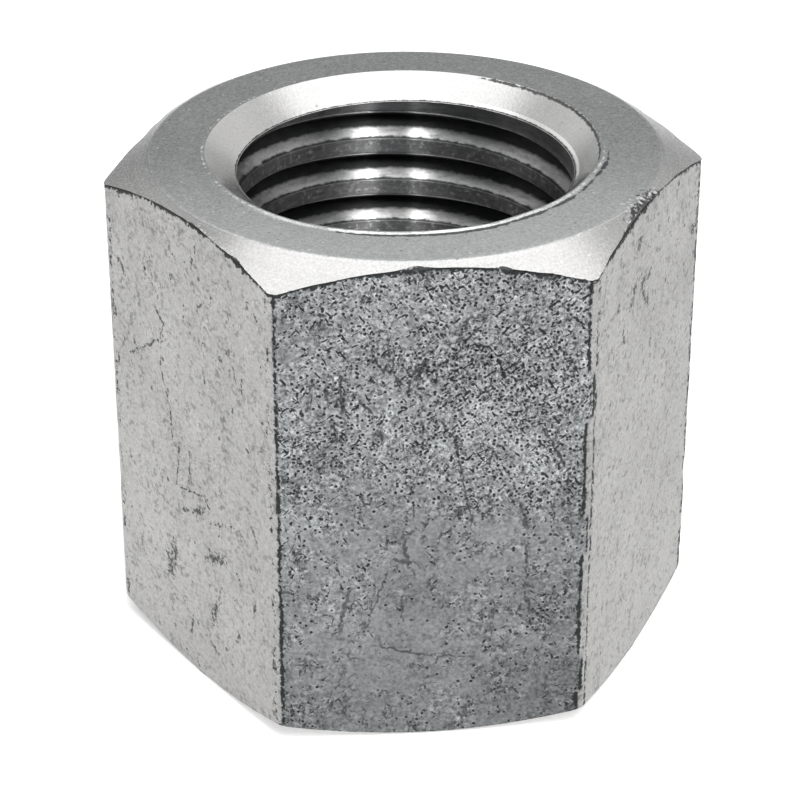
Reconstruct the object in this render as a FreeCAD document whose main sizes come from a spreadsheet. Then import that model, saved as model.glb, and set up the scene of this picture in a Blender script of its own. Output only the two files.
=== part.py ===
import FreeCAD, Part

import math
import os

import Sketcher

# Union nut: one tall piece of hexagon bar, chamfered at both ends, countersunk and threaded right through.
# The nut stands on its base. The origin is the centre of the base, +Z is the axis of the thread, and two
# of the six wrench flats face -Y and +Y. Lengths are in millimetres and angles in degrees.

# Alias, value and meaning of each driving dimension.
DIMENSIONS = (
    ("across_flats", 22.0, "hexagon bar, from one wrench flat to the opposite one"),
    ("nut_height", 22.0, "base to top face"),
    ("edge_radius", 0.6, "rounding of the six upright edges of the drawn bar"),
    ("top_land_inset", 0.37, "rim of the round top face, inside the wrench flats"),
    ("top_chamfer_angle", 28.0, "slope of the top chamfer from level"),
    ("base_land_inset", 0.12, "rim of the round base face, inside the wrench flats"),
    ("base_chamfer_angle", 23.0, "slope of the base chamfer from level"),
    ("thread_dia", 16.0, "major diameter of the thread"),
    ("thread_pitch", 2.0, "rise of the thread in one turn"),
    ("flank_angle", 30.0, "each flank of the groove, from a plane square to the axis"),
    ("groove_width_per_pitch", 0.125, "groove at the major diameter, for each millimetre of pitch"),
    ("thread_depth_per_pitch", 0.475, "crests inside the major diameter, for each millimetre of pitch"),
    ("first_groove_height", 1.46, "middle of the first whole groove above the base, on the +X side"),
    ("countersink_margin", 0.4, "rim of each countersink, outside the major diameter of the thread"),
    ("countersink_angle", 110.0, "included angle of both countersinks"),
)

SHEET = "Dimensions"
NODE = "nut_body"

# Sizes that several features share, as formulas of the driving dimensions. A turning cut runs out to a
# radius as long as the bar is wide, which is well past the corners of the bar.
HALF_FLATS = "Dimensions.across_flats / 2"
PAST_CORNERS = "Dimensions.across_flats"
TOP = "Dimensions.nut_height"
PITCH = "Dimensions.thread_pitch"
MAJOR_RADIUS = "Dimensions.thread_dia / 2"
CREST_RADIUS = f"({MAJOR_RADIUS} - Dimensions.thread_depth_per_pitch * {PITCH})"
MOUTH_RADIUS = f"({MAJOR_RADIUS} + Dimensions.countersink_margin)"
MOUTH_DEPTH = f"(({MOUTH_RADIUS} - {CREST_RADIUS}) / tan(Dimensions.countersink_angle / 2))"


def make_sheet(doc):
    """Put the driving dimensions in a spreadsheet, one row each: meaning, value and alias."""
    sheet = doc.addObject("Spreadsheet::Sheet", SHEET)
    for row, (alias, value, meaning) in enumerate(DIMENSIONS, start=1):
        sheet.set(f"A{row}", meaning)
        sheet.set(f"B{row}", str(value))
        sheet.setAlias(f"B{row}", alias)
    doc.recompute()
    return sheet


def origin_feature(body, role):
    """The body's own origin plane or axis of this role, such as XY_Plane."""
    return next(item for item in body.Origin.OriginFeatures if item.Role == role)


def add_sketch(body, name, role):
    """An empty sketch on one of the body's origin planes."""
    sketch = body.newObject("Sketcher::SketchObject", name)
    sketch.AttachmentSupport = [(origin_feature(body, role), "")]
    sketch.MapMode = "FlatFace"
    return sketch


def join_ends(sketch, count):
    """Close a chain of lines, each to the next and the last to the first."""
    for index in range(count):
        sketch.addConstraint(Sketcher.Constraint("Coincident", index, 2, (index + 1) % count, 1))


def add_driven_constraint(sketch, constraint, name, formula):
    """Add a dimension to the sketch and bind it to a formula."""
    sketch.renameConstraint(sketch.addConstraint(constraint), name)
    sketch.setExpression(f"Constraints.{name}", formula)


def add_profile(body, name, corners):
    """A closed half section on the XZ plane, with each corner (radius, height) bound to its formulas."""
    sketch = add_sketch(body, name, "XZ_Plane")
    sheet = body.Document.getObject(SHEET)
    places = [[sheet.evalExpression(formula) for formula in corner] for corner in corners]
    for index, (radius, height) in enumerate(places):
        after = places[(index + 1) % len(places)]
        start, end = FreeCAD.Vector(radius, height, 0), FreeCAD.Vector(*after, 0)
        sketch.addGeometry(Part.LineSegment(start, end), False)
    join_ends(sketch, len(corners))
    for index, (corner, place) in enumerate(zip(corners, places)):
        for way, axis, formula, value in zip(("Radius", "Height"), "XY", corner, place):
            driven = Sketcher.Constraint(f"Distance{axis}", -1, 1, index, 1, value)
            add_driven_constraint(sketch, driven, f"{way}{index + 1}", formula)
    return sketch


def checked_cut(body, feature):
    """Recompute, and make sure that the feature has taken material away from the body."""
    before = feature.BaseFeature.Shape.Volume
    body.Document.recompute()
    after = feature.Shape.Volume
    if not 0 < after < before:
        raise ValueError(f"{feature.Label} cuts nothing: {before:.3f} mm3 before, {after:.3f} mm3 after")
    return feature


def turn_away(body, name, corners):
    """A turning cut: the half section goes once round the axis of the nut."""
    sketch = add_profile(body, f"{name}Section", corners)
    groove = body.newObject("PartDesign::Groove", name)
    groove.Profile = sketch
    groove.ReferenceAxis = (origin_feature(body, "Z_Axis"), [""])
    groove.Angle = 360
    return checked_cut(body, groove)


def hexagon_bar(body):
    """A length of hexagon bar: six equal sides round a circle as wide as the wrench flats are apart."""
    sketch = add_sketch(body, "BarSection", "XY_Plane")
    flats = body.Document.getObject(SHEET).across_flats
    corner_radius = flats / math.sqrt(3)
    turns = [math.radians(60 * side) for side in range(6)]
    corners = [FreeCAD.Vector(corner_radius * math.cos(a), corner_radius * math.sin(a), 0) for a in turns]
    for side in range(6):
        sketch.addGeometry(Part.LineSegment(corners[side], corners[(side + 1) % 6]), False)
    circle = sketch.addGeometry(Part.Circle(FreeCAD.Vector(), FreeCAD.Vector(0, 0, 1), flats / 2), True)
    join_ends(sketch, 6)
    sketch.addConstraint(Sketcher.Constraint("Coincident", circle, 3, -1, 1))
    for side in range(6):
        sketch.addConstraint(Sketcher.Constraint("Tangent", side, circle))
    for side in range(1, 6):
        sketch.addConstraint(Sketcher.Constraint("Equal", 0, side))
    back_flat = 1
    sketch.addConstraint(Sketcher.Constraint("Horizontal", back_flat))
    width = Sketcher.Constraint("Diameter", circle, flats)
    add_driven_constraint(sketch, width, "AcrossFlats", "Dimensions.across_flats")
    bar = body.newObject("PartDesign::Pad", "HexagonBar")
    bar.Profile = sketch
    bar.setExpression("Length", TOP)
    body.Document.recompute()
    return bar


def round_upright_edges(body, bar):
    """The drawn bar's six long edges are slightly rounded."""
    upright = [
        f"Edge{number}"
        for number, edge in enumerate(bar.Shape.Edges, start=1)
        if abs(edge.tangentAt(edge.FirstParameter).z) > 0.99
    ]
    rounding = body.newObject("PartDesign::Fillet", "UprightEdges")
    rounding.Base = (bar, upright)
    rounding.setExpression("Radius", "Dimensions.edge_radius")
    return checked_cut(body, rounding)


def chamfer_ends(body):
    """Each end is turned to a cone, which leaves a round face and a curved end to every wrench flat."""
    top_rim = f"({HALF_FLATS} - Dimensions.top_land_inset)"
    top_low = f"{TOP} - ({PAST_CORNERS} - {top_rim}) * tan(Dimensions.top_chamfer_angle)"
    turn_away(body, "TopChamfer", ((top_rim, TOP), (PAST_CORNERS, top_low), (PAST_CORNERS, TOP)))
    base_rim = f"({HALF_FLATS} - Dimensions.base_land_inset)"
    base_high = f"({PAST_CORNERS} - {base_rim}) * tan(Dimensions.base_chamfer_angle)"
    turn_away(body, "BaseChamfer", ((base_rim, "0"), (PAST_CORNERS, "0"), (PAST_CORNERS, base_high)))


def bore_and_countersinks(body):
    """The tapping bore goes right through, and each mouth is opened to a cone wider than the thread."""
    corners = (
        ("0", "0"),
        (MOUTH_RADIUS, "0"),
        (CREST_RADIUS, MOUTH_DEPTH),
        (CREST_RADIUS, f"{TOP} - {MOUTH_DEPTH}"),
        (MOUTH_RADIUS, TOP),
        ("0", TOP),
    )
    turn_away(body, "Bore", corners)


def cut_thread(body):
    """A right-hand V groove winds up the whole bore, from below the base to above the top face.

    Its flanks run on past the major diameter and meet in a sharp root. Its section starts a little inside
    the wall of the bore, which the crests keep.
    """
    turns_below = 2
    middle = f"(Dimensions.first_groove_height - {turns_below} * {PITCH})"
    inner_radius = f"({CREST_RADIUS} - {PITCH} / 20)"
    half_groove = f"Dimensions.groove_width_per_pitch * {PITCH} / 2"
    slope = "tan(Dimensions.flank_angle)"
    root_radius = f"({MAJOR_RADIUS} + {half_groove} / {slope})"
    half_mouth = f"({root_radius} - {inner_radius}) * {slope}"
    corners = (
        (inner_radius, f"{middle} - {half_mouth}"),
        (root_radius, middle),
        (inner_radius, f"{middle} + {half_mouth}"),
    )
    sketch = add_profile(body, "ThreadSection", corners)
    thread = body.newObject("PartDesign::SubtractiveHelix", "Thread")
    thread.Profile = sketch
    thread.ReferenceAxis = (origin_feature(body, "Z_Axis"), [""])
    thread.Mode = "pitch-height-angle"
    thread.setExpression("Pitch", PITCH)
    thread.setExpression("Height", f"{TOP} + {2 * turns_below} * {PITCH}")
    thread.LeftHanded = False
    return checked_cut(body, thread)


def make_nut(doc):
    """Build the nut in the order in which it is made: bar, chamfers, bore and thread."""
    body = doc.addObject("PartDesign::Body", "Nut")
    body.Label = NODE
    round_upright_edges(body, hexagon_bar(body))
    chamfer_ends(body)
    bore_and_countersinks(body)
    cut_thread(body)
    body.Placement = FreeCAD.Placement()
    return body


def check_model(doc, body):
    """Stop if any object of the document failed, or if the nut is not one sound solid."""
    failed = [item.Label for item in doc.Objects if {"Invalid", "Error"} & set(item.State)]
    if failed:
        raise ValueError(f"failed objects: {', '.join(failed)}")
    shape = body.Shape
    if shape.isNull() or not shape.isValid() or len(shape.Solids) != 1:
        raise ValueError(f"{body.Label} is not one valid solid")


document = FreeCAD.newDocument("UnionNut")
make_sheet(document)
nut = make_nut(document)
document.recompute()
check_model(document, nut)
os.makedirs("parts", exist_ok=True)
nut.Shape.exportStep(os.path.join("parts", f"{nut.Label}.step"))
print(f"{nut.Label}: {nut.Shape.Volume:.1f} mm3, {len(nut.Shape.Faces)} faces")
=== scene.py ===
"""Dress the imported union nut: a finely modelled mesh in dull zinc plating, on a pale floor."""

import logging
import math
from abc import ABC, abstractmethod
from dataclasses import dataclass
from enum import Enum, IntEnum

import bpy
import numpy as np
from mathutils import Matrix, Vector


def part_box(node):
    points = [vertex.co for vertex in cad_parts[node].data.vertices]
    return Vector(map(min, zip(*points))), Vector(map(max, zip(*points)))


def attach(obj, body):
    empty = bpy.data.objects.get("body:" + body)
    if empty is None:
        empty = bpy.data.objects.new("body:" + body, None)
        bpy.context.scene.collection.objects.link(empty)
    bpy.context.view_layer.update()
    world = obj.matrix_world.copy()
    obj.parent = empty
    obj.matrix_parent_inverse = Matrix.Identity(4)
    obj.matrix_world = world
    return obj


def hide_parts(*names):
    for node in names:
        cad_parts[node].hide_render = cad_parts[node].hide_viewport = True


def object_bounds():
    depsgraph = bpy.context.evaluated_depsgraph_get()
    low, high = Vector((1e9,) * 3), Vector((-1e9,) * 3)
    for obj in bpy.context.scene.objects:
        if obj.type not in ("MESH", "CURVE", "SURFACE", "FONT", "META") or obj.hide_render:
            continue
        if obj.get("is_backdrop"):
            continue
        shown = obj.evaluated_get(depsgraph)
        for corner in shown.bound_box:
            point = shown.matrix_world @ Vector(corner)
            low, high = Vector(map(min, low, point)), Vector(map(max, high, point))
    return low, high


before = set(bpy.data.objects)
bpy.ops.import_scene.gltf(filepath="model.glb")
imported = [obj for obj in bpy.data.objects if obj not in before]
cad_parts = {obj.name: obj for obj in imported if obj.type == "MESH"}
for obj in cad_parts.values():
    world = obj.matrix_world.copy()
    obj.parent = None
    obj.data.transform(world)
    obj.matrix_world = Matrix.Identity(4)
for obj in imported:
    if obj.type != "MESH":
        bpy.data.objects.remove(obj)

LOG = logging.getLogger("union_nut")
MM = 0.001
NODE = "nut_body"
PIECE = "nut_shell"

# Where the outside and the bore meet on each end face, and how far the faces stay inside the box so
# that burrs can stand up to it, in millimetres.
SEAM_RADIUS = 9.7
RELIEF = 0.045

Triple = tuple[float, float, float]


class Finish(Enum):
    """The finishes of the nut, in the order of the mesh's material slots."""

    FLAT = 0
    FACE = 1
    CHAMFER = 2
    COUNTERSINK = 3
    THREAD = 4


class Wear(Enum):
    """The surface values that the mesh carries for its finishes, by attribute name."""

    PITTING = "pitting"
    # Ragged burrs; along the top crease their darkness is painted shade.
    BURR = "burr"
    # Dark lines on the flats, and painted highlights on the ridges of the turned ends.
    EDGE = "edge_line"
    DENT = "dent"
    # Depth from crest to root of the thread, painted with shade in its roots, and painted shade in
    # the ditches of the turned ends.
    RECESS = "recess"
    # The front flat's dull finish: densely marked, and darkened and cooled with painted shade.
    DULL = "dull"


class Side(IntEnum):
    """The wrench flats, counter-clockwise, named as the camera sees them."""

    BACK_RIGHT = 0
    BACK = 1
    BACK_LEFT = 2
    LEFT = 3
    FRONT = 4
    RIGHT = 5

    @property
    def turn(self) -> float:
        """Azimuth of the flat's outward normal, in radians."""
        return math.radians(30 + 60 * self)


HIDDEN_SIDES = (Side.BACK_RIGHT, Side.BACK, Side.BACK_LEFT)


class Seed(IntEnum):
    """The number that picks each random pattern."""

    CREASE = 3
    WAVES = 5
    RIPPLES = 6
    BURRS = 8
    END_FACES = 9
    CLOUDS = 11
    WANDER = 14
    NICKS = 17
    FINE_NICKS = 18
    CRESTS = 21
    COUNTERSINK = 22
    SINK_BURRS = 23
    CHIPS = 29
    LIP = 31
    DENTS = 53


@dataclass(frozen=True)
class NutSizes:
    """The sizes of the nut, as in the part's source, in millimetres and degrees."""

    across_flats: float = 22.0
    height: float = 22.0
    edge_radius: float = 0.6
    top_rim: float = 10.63
    top_slope: float = 28.0
    base_rim: float = 10.88
    base_slope: float = 23.0
    mouth: float = 8.4
    mouth_half_angle: float = 55.0
    major_radius: float = 8.0
    pitch: float = 2.0
    flank: float = 30.0
    groove_per_pitch: float = 0.125
    depth_per_pitch: float = 0.475
    groove_height: float = 1.46

    @property
    def half_flats(self) -> float:
        """Axis to a wrench flat."""
        return self.across_flats / 2

    @property
    def crest(self) -> float:
        """Radius of the thread's crests."""
        return self.major_radius - self.depth_per_pitch * self.pitch

    @property
    def root(self) -> float:
        """Radius of the thread's sharp root."""
        half_groove = self.groove_per_pitch / 2 * self.pitch
        return self.major_radius + half_groove / math.tan(math.radians(self.flank))

    @property
    def mouth_depth(self) -> float:
        """Depth of each countersink."""
        return (self.mouth - self.crest) / math.tan(math.radians(self.mouth_half_angle))


# Working with points, in millimetres


def eased(part: np.ndarray) -> np.ndarray:
    """A share from 0 to 1 that starts and ends softly."""
    return part * part * (3.0 - 2.0 * part)


def smooth(value: np.ndarray, low: float, high: float) -> np.ndarray:
    """A soft step from 0 at low to 1 at high."""
    return eased(np.clip((value - low) / (high - low), 0.0, 1.0))


def lobe(turns: np.ndarray, middle: float, low: float, high: float) -> np.ndarray:
    """One part of a ring, with soft ends.

    Args:
        turns: azimuths in radians.
        middle: azimuth of the part's middle, in degrees.
        low: cosine of the angle from the middle where the part ends.
        high: cosine of the angle within which it is whole.

    Returns:
        From 0 outside the part to 1 inside it, one for each azimuth.
    """
    return smooth(np.cos(turns - math.radians(middle)), low, high)


def around(turns: np.ndarray, radius: np.ndarray, height: np.ndarray) -> np.ndarray:
    """Points at these azimuths, radii and heights, with x, y and z last."""
    return np.stack([radius * np.cos(turns), radius * np.sin(turns), height], axis=-1)


class Grit:
    """Smooth noise that is the same on every run."""

    CELLS = 32
    SHIFT = 7.31

    def __init__(self, seed: int) -> None:
        """Fill the lattice.

        Args:
            seed: number that picks the pattern.
        """
        self.lattice = np.random.default_rng(seed).uniform(-1.0, 1.0, (self.CELLS,) * 3)

    def at(self, points: np.ndarray, size: float) -> np.ndarray:
        """Noise at points.

        Args:
            points: places in millimetres, with x, y and z last.
            size: width of one lump in millimetres.

        Returns:
            Values from -1 to 1, one for each point.
        """
        place = points / size + self.SHIFT
        low = np.floor(place).astype(int)
        part = eased(place - low)
        total = np.zeros(points.shape[:-1])
        for corner in np.ndindex(2, 2, 2):
            cell = (low + corner) % self.CELLS
            weight = np.prod(np.where(corner, part, 1.0 - part), axis=-1)
            total += weight * self.lattice[cell[..., 0], cell[..., 1], cell[..., 2]]
        return total

    def rough(self, points: np.ndarray, size: float, steps: int = 3) -> np.ndarray:
        """Noise with finer noise on top.

        Args:
            points: places in millimetres.
            size: width of the largest lumps in millimetres.
            steps: number of layers, each half as wide as the one before.

        Returns:
            Values from about -1 to 1, one for each point.
        """
        total = np.zeros(points.shape[:-1])
        for step in range(steps):
            total += self.at(points, size / 2**step) / 2**step
        return total / (2.0 - 2.0 ** (1 - steps))


def end_face_waves(points: np.ndarray) -> np.ndarray:
    """How far each point of an end face rises, because the face isn't quite flat."""
    return 0.006 * Grit(Seed.END_FACES).at(points, 3.0)


# The mesh


@dataclass
class Patch:
    """A grid of points that goes once round the nut, with a finish for each of its bands.

    Attributes:
        points: rows by columns by 3, in millimetres.
        finishes: finish of the band under each row but the last.
        wear: surface values of the points, rows by columns each.
    """

    points: np.ndarray
    finishes: list[Finish]
    wear: dict[Wear, np.ndarray]


class Skin:
    """The vertices, faces, finishes and surface values of one closed mesh."""

    SHARP_FROM = 32

    def __init__(self) -> None:
        """Start with no vertices."""
        self.points: list[np.ndarray] = []
        self.wear: dict[Wear, list[np.ndarray]] = {kind: [] for kind in Wear}
        self.faces: list[tuple[int, ...]] = []
        self.finishes: list[int] = []
        self.count = 0

    def add_points(self, points: np.ndarray, wear: dict[Wear, np.ndarray]) -> np.ndarray:
        """Add points.

        Args:
            points: any shape with x, y and z last, in millimetres.
            wear: surface values of the points; a kind that isn't there is 0.

        Returns:
            The vertex number of each point.
        """
        shape = points.shape[:-1]
        size = int(np.prod(shape))
        numbers = np.arange(self.count, self.count + size).reshape(shape)
        self.points.append(points.reshape(-1, 3))
        for kind in Wear:
            values = np.broadcast_to(wear.get(kind, 0.0), shape)
            self.wear[kind].append(values.reshape(-1))
        self.count += size
        return numbers

    def add_face(self, corners: list[int], finish: Finish) -> None:
        """Add a face, unless its corners fall together.

        Args:
            corners: vertex numbers, with repeats where the face narrows to a point.
            finish: finish of the face.
        """
        kept = [n for place, n in enumerate(corners) if n != corners[place - 1]]
        if len(kept) > 2 and len(set(kept)) == len(kept):
            self.faces.append(tuple(int(n) for n in kept))
            self.finishes.append(finish.value)

    def add_patch(self, patch: Patch) -> np.ndarray:
        """Add a grid and its faces.

        Args:
            patch: the grid, whose last column joins its first.

        Returns:
            The vertex numbers, rows by columns.
        """
        numbers = self.add_points(patch.points, patch.wear)
        after = np.roll(numbers, -1, axis=1)
        for row, finish in enumerate(patch.finishes):
            corners = [numbers[row], numbers[row + 1], after[row + 1], after[row]]
            faces = np.stack(corners, axis=-1).tolist()
            self.faces.extend(map(tuple, faces))
            self.finishes.extend([finish.value] * len(faces))
        return numbers

    def zip_rings(self, near: np.ndarray, far: np.ndarray, finish: Finish) -> None:
        """Join two rings of different counts with triangles.

        Args:
            near: vertex numbers of the ring that the band starts from, counter-clockwise.
            far: vertex numbers of the ring where it ends.
            finish: finish of the band.
        """
        whole = 2 * math.pi
        places = np.concatenate(self.points)
        turns = [np.unwrap(np.arctan2(places[ring, 1], places[ring, 0])) for ring in (near, far)]
        start = turns[0][0]
        first = int(np.argmin(np.abs(np.angle(np.exp(1j * (turns[1] - start))))))
        far = np.roll(far, -first)
        other = start + np.unwrap(np.roll(turns[1], -first) - start)
        other -= whole * round((other[0] - start) / whole)
        one = np.append(turns[0], start + whole)
        two = np.append(other, other[0] + whole)
        i = j = 0
        while i < len(near) or j < len(far):
            near_next = (one[i] + one[i + 1]) / 2 if i < len(near) else math.inf
            far_next = (two[j] + two[j + 1]) / 2 if j < len(far) else math.inf
            corners = [near[i % len(near)], far[j % len(far)]]
            if near_next <= far_next:
                corners.append(near[(i + 1) % len(near)])
                i += 1
            else:
                corners.append(far[(j + 1) % len(far)])
                j += 1
            self.add_face(corners, finish)

    def to_mesh(self, name: str) -> bpy.types.Mesh:
        """Make the mesh, in metres.

        Args:
            name: name of the mesh.

        Returns:
            The mesh, with its surface values as point attributes.
        """
        mesh = bpy.data.meshes.new(name)
        mesh.from_pydata((np.concatenate(self.points) * MM).tolist(), [], self.faces)
        for kind, parts in self.wear.items():
            layer = mesh.attributes.new(kind.value, "FLOAT", "POINT")
            layer.data.foreach_set("value", np.concatenate(parts).astype(np.float32))
        mesh.polygons.foreach_set("material_index", np.array(self.finishes, dtype=np.int32))
        mesh.shade_smooth()
        mesh.set_sharp_from_angle(angle=math.radians(self.SHARP_FROM))
        if mesh.validate(verbose=False):
            LOG.warning("the mesh of %s had to be mended", name)
        return mesh


# Marks on the wrench flats


@dataclass(frozen=True)
class Dent:
    """A knock or dark spot on a wrench flat.

    Attributes:
        side: the flat.
        along: place along the flat from its middle, counter-clockwise, in millimetres.
        height: place above the base in millimetres.
        reach: half widths along and up, in millimetres.
        depth: depth in millimetres.
        dark: how dark it is, 0 to 1.
    """

    side: Side
    along: float
    height: float
    reach: tuple[float, float]
    depth: float
    dark: float


@dataclass(frozen=True)
class Scratch:
    """A short dark scratch, pit or piece of a crack on a wrench flat.

    Attributes:
        along: place of its middle along the flat, in millimetres.
        height: place of its middle above the base, in millimetres.
        length: half its length in millimetres.
        width: half its width in millimetres.
        slant: slope of its length from level, in degrees.
    """

    along: float
    height: float
    length: float
    width: float
    slant: float

    def rows(self) -> tuple[Triple, Triple]:
        """How to find a point's place along and across the scratch, each 1 at its edge.

        Returns:
            Two triples to be multiplied by (place along the flat, 1, height) and summed.
        """
        cos, sin = math.cos(math.radians(self.slant)), math.sin(math.radians(self.slant))
        lengthwise = (cos, -(self.along * cos + self.height * sin), sin)
        across = (-sin, self.along * sin - self.height * cos, cos)
        return (
            tuple(value / self.length for value in lengthwise),
            tuple(value / self.width for value in across),
        )


# The larger dents of the nearer flats, where the photo shows them.
SEEN_DENTS = (
    Dent(Side.LEFT, -1.79, 5.15, (0.20, 0.48), 0.09, 0.6),
    Dent(Side.LEFT, -2.10, 4.35, (0.20, 0.34), 0.07, 0.5),
    Dent(Side.LEFT, 1.55, 6.55, (0.36, 0.18), 0.06, 0.5),
    Dent(Side.LEFT, 1.42, 3.90, (0.17, 0.42), 0.05, 0.5),
    Dent(Side.LEFT, 0.25, 8.30, (0.40, 0.20), 0.05, 0.45),
    Dent(Side.LEFT, 1.95, 8.40, (0.40, 0.18), 0.04, 0.4),
    Dent(Side.LEFT, -5.10, 17.6, (0.22, 0.34), 0.05, 0.4),
    Dent(Side.RIGHT, -0.76, 18.2, (0.14, 0.30), 0.05, 0.5),
    Dent(Side.RIGHT, -1.41, 20.2, (0.12, 0.30), 0.05, 0.5),
    Dent(Side.RIGHT, 5.33, 18.0, (0.15, 0.26), 0.05, 0.5),
    Dent(Side.FRONT, -1.15, 8.9, (0.34, 0.34), 0.04, 0.4),
    Dent(Side.FRONT, 3.70, 10.3, (0.20, 0.50), 0.04, 0.3),
    Dent(Side.FRONT, 4.49, 9.1, (0.16, 0.16), 0.05, 0.4),
)

# Chips and rolled burrs of the top crease, where the photo shows them: flat, place along it, half
# width and depth in millimetres.
SEEN_CHIPS = (
    (Side.FRONT, -0.75, 0.55, 0.16),
    (Side.FRONT, 2.75, 0.35, 0.13),
    (Side.FRONT, 4.6, 0.4, 0.06),
    (Side.LEFT, 3.9, 0.4, 0.10),
    (Side.LEFT, 0.9, 0.6, 0.07),
    (Side.RIGHT, -2.4, 1.1, 0.15),
    (Side.RIGHT, -0.9, 0.6, 0.12),
    (Side.RIGHT, -4.6, 0.7, 0.08),
)

# Place along the flat, height, half length, half width and slant of the scratches that show.
SCRATCHES: dict[Side, tuple[tuple[float, ...], ...]] = {
    Side.LEFT: (
        (-1.0, 10.62, 0.27, 0.09, 86), (-1.19, 9.65, 0.69, 0.045, 82),
        (-0.25, 10.1, 0.65, 0.05, 86), (-0.01, 9.08, 1.14, 0.04, 12),
        (1.08, 8.95, 0.42, 0.04, -67), (0.34, 8.35, 0.47, 0.17, 26), (-0.55, 7.95, 0.34, 0.07, 26),
        (1.94, 8.43, 0.65, 0.07, 20), (2.88, 8.9, 0.21, 0.07, -79), (2.0, 8.07, 0.26, 0.06, 76),
        (-1.79, 5.18, 0.56, 0.21, 86), (-2.19, 4.75, 0.34, 0.19, -83),
        (-2.11, 4.23, 0.36, 0.17, -76), (1.6, 6.57, 0.62, 0.17, 27), (1.73, 4.74, 0.67, 0.04, 67),
        (1.41, 3.91, 0.61, 0.17, 68), (-0.5, 2.23, 0.43, 0.07, 80), (-1.99, 1.4, 0.18, 0.07, 86),
        (1.29, 1.94, 0.31, 0.08, -12), (4.6, 9.42, 0.3, 0.06, -54), (4.54, 5.71, 0.31, 0.06, 79),
        (3.18, 3.53, 0.3, 0.06, 68), (4.3, 13.15, 0.18, 0.06, -40), (0.58, 20.06, 0.19, 0.07, 86),
        (-1.11, 18.7, 0.14, 0.08, 86), (0.88, 20.75, 0.31, 0.04, -85),
        (-5.11, 17.62, 0.33, 0.09, -44), (1.06, 18.22, 0.34, 0.05, 54),
        (4.65, 19.78, 0.13, 0.07, 87), (5.24, 19.51, 0.12, 0.06, -67),
        (1.92, 19.0, 0.13, 0.06, 87), (0.29, 16.9, 0.16, 0.06, 86),
        (2.91, 16.98, 0.45, 0.055, -14), (2.52, 16.49, 0.2, 0.08, -63),
        (3.47, 16.37, 0.66, 0.035, -70), (4.03, 15.96, 0.29, 0.07, 87),
        (3.37, 14.43, 0.14, 0.07, 87), (1.23, 14.99, 0.13, 0.05, 86),
        (-2.14, 16.5, 0.46, 0.05, -40), (-2.04, 15.77, 0.61, 0.04, 68),
        (-2.9, 14.89, 0.92, 0.045, 31), (-4.09, 14.12, 0.75, 0.045, 35),
        (-2.17, 14.59, 0.75, 0.04, 89), (-1.91, 13.31, 0.82, 0.045, -67),
        (-1.58, 11.89, 0.93, 0.045, -86), (-5.66, 12.98, 0.23, 0.07, 85),
        (-5.78, 15.2, 0.2, 0.07, 85),
    ),
    Side.FRONT: (
        (4.46, 14.28, 0.49, 0.05, -59), (5.03, 13.21, 0.95, 0.07, -63),
        (5.41, 11.96, 0.64, 0.05, -88), (1.03, 13.15, 1.19, 0.045, -80),
        (1.42, 11.03, 1.32, 0.04, -79), (0.58, 14.55, 0.66, 0.05, -54),
        (-1.13, 9.13, 0.76, 0.08, -83), (-1.19, 8.59, 0.44, 0.08, -15),
        (-2.21, 6.97, 1.36, 0.045, 72), (-1.23, 6.42, 0.78, 0.06, 88),
        (-3.58, 6.47, 1.25, 0.09, 78), (3.7, 10.35, 0.72, 0.09, -77), (3.83, 8.27, 1.04, 0.05, 89),
        (3.89, 6.4, 0.62, 0.06, -73), (4.53, 5.55, 0.72, 0.07, -36), (4.49, 9.09, 0.11, 0.11, -50),
        (3.88, 3.79, 0.2, 0.07, -89), (-1.12, 4.22, 1.25, 0.045, -15),
        (0.61, 3.86, 0.82, 0.045, -8), (-6.02, 7.39, 0.4, 0.07, -4),
        (-2.17, 17.79, 0.74, 0.06, -66), (-0.6, 17.4, 0.55, 0.07, 43),
        (-0.94, 16.64, 0.54, 0.07, -90), (-3.65, 16.54, 0.92, 0.05, -88),
        (-2.67, 15.82, 0.51, 0.06, -56), (1.4, 18.71, 1.1, 0.05, 52),
        (-0.58, 21.77, 0.74, 0.13, 1), (4.29, 21.19, 0.38, 0.12, -20),
    ),
    Side.RIGHT: (
        (-1.41, 20.26, 0.33, 0.17, 71), (-0.06, 18.35, 0.26, 0.13, 39),
        (-0.76, 18.23, 0.33, 0.21, 53), (-1.73, 18.48, 0.19, 0.17, 73),
        (-0.21, 17.2, 0.2, 0.2, -83), (-2.13, 17.92, 0.25, 0.14, 33),
        (-0.63, 17.72, 0.31, 0.13, -55), (-3.63, 18.44, 0.18, 0.13, -84),
        (5.33, 18.02, 0.3, 0.21, -65), (5.87, 18.33, 0.43, 0.14, 77),
        (-2.88, 16.79, 0.43, 0.1, -84),
    ),
}


# The outside and the bore


@dataclass(frozen=True)
class Outline:
    """The columns of the outside, counter-clockwise round the bar.

    Attributes:
        places: level place of each column, in millimetres.
        normals: level outward normal of each column.
        run: place along the column's flat, past the flat's ends on an upright edge.
        side: the column's flat.
    """

    places: np.ndarray
    normals: np.ndarray
    run: np.ndarray
    side: np.ndarray

    @property
    def far(self) -> np.ndarray:
        """Distance of each column from the axis."""
        return np.hypot(self.places[:, 0], self.places[:, 1])


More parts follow.
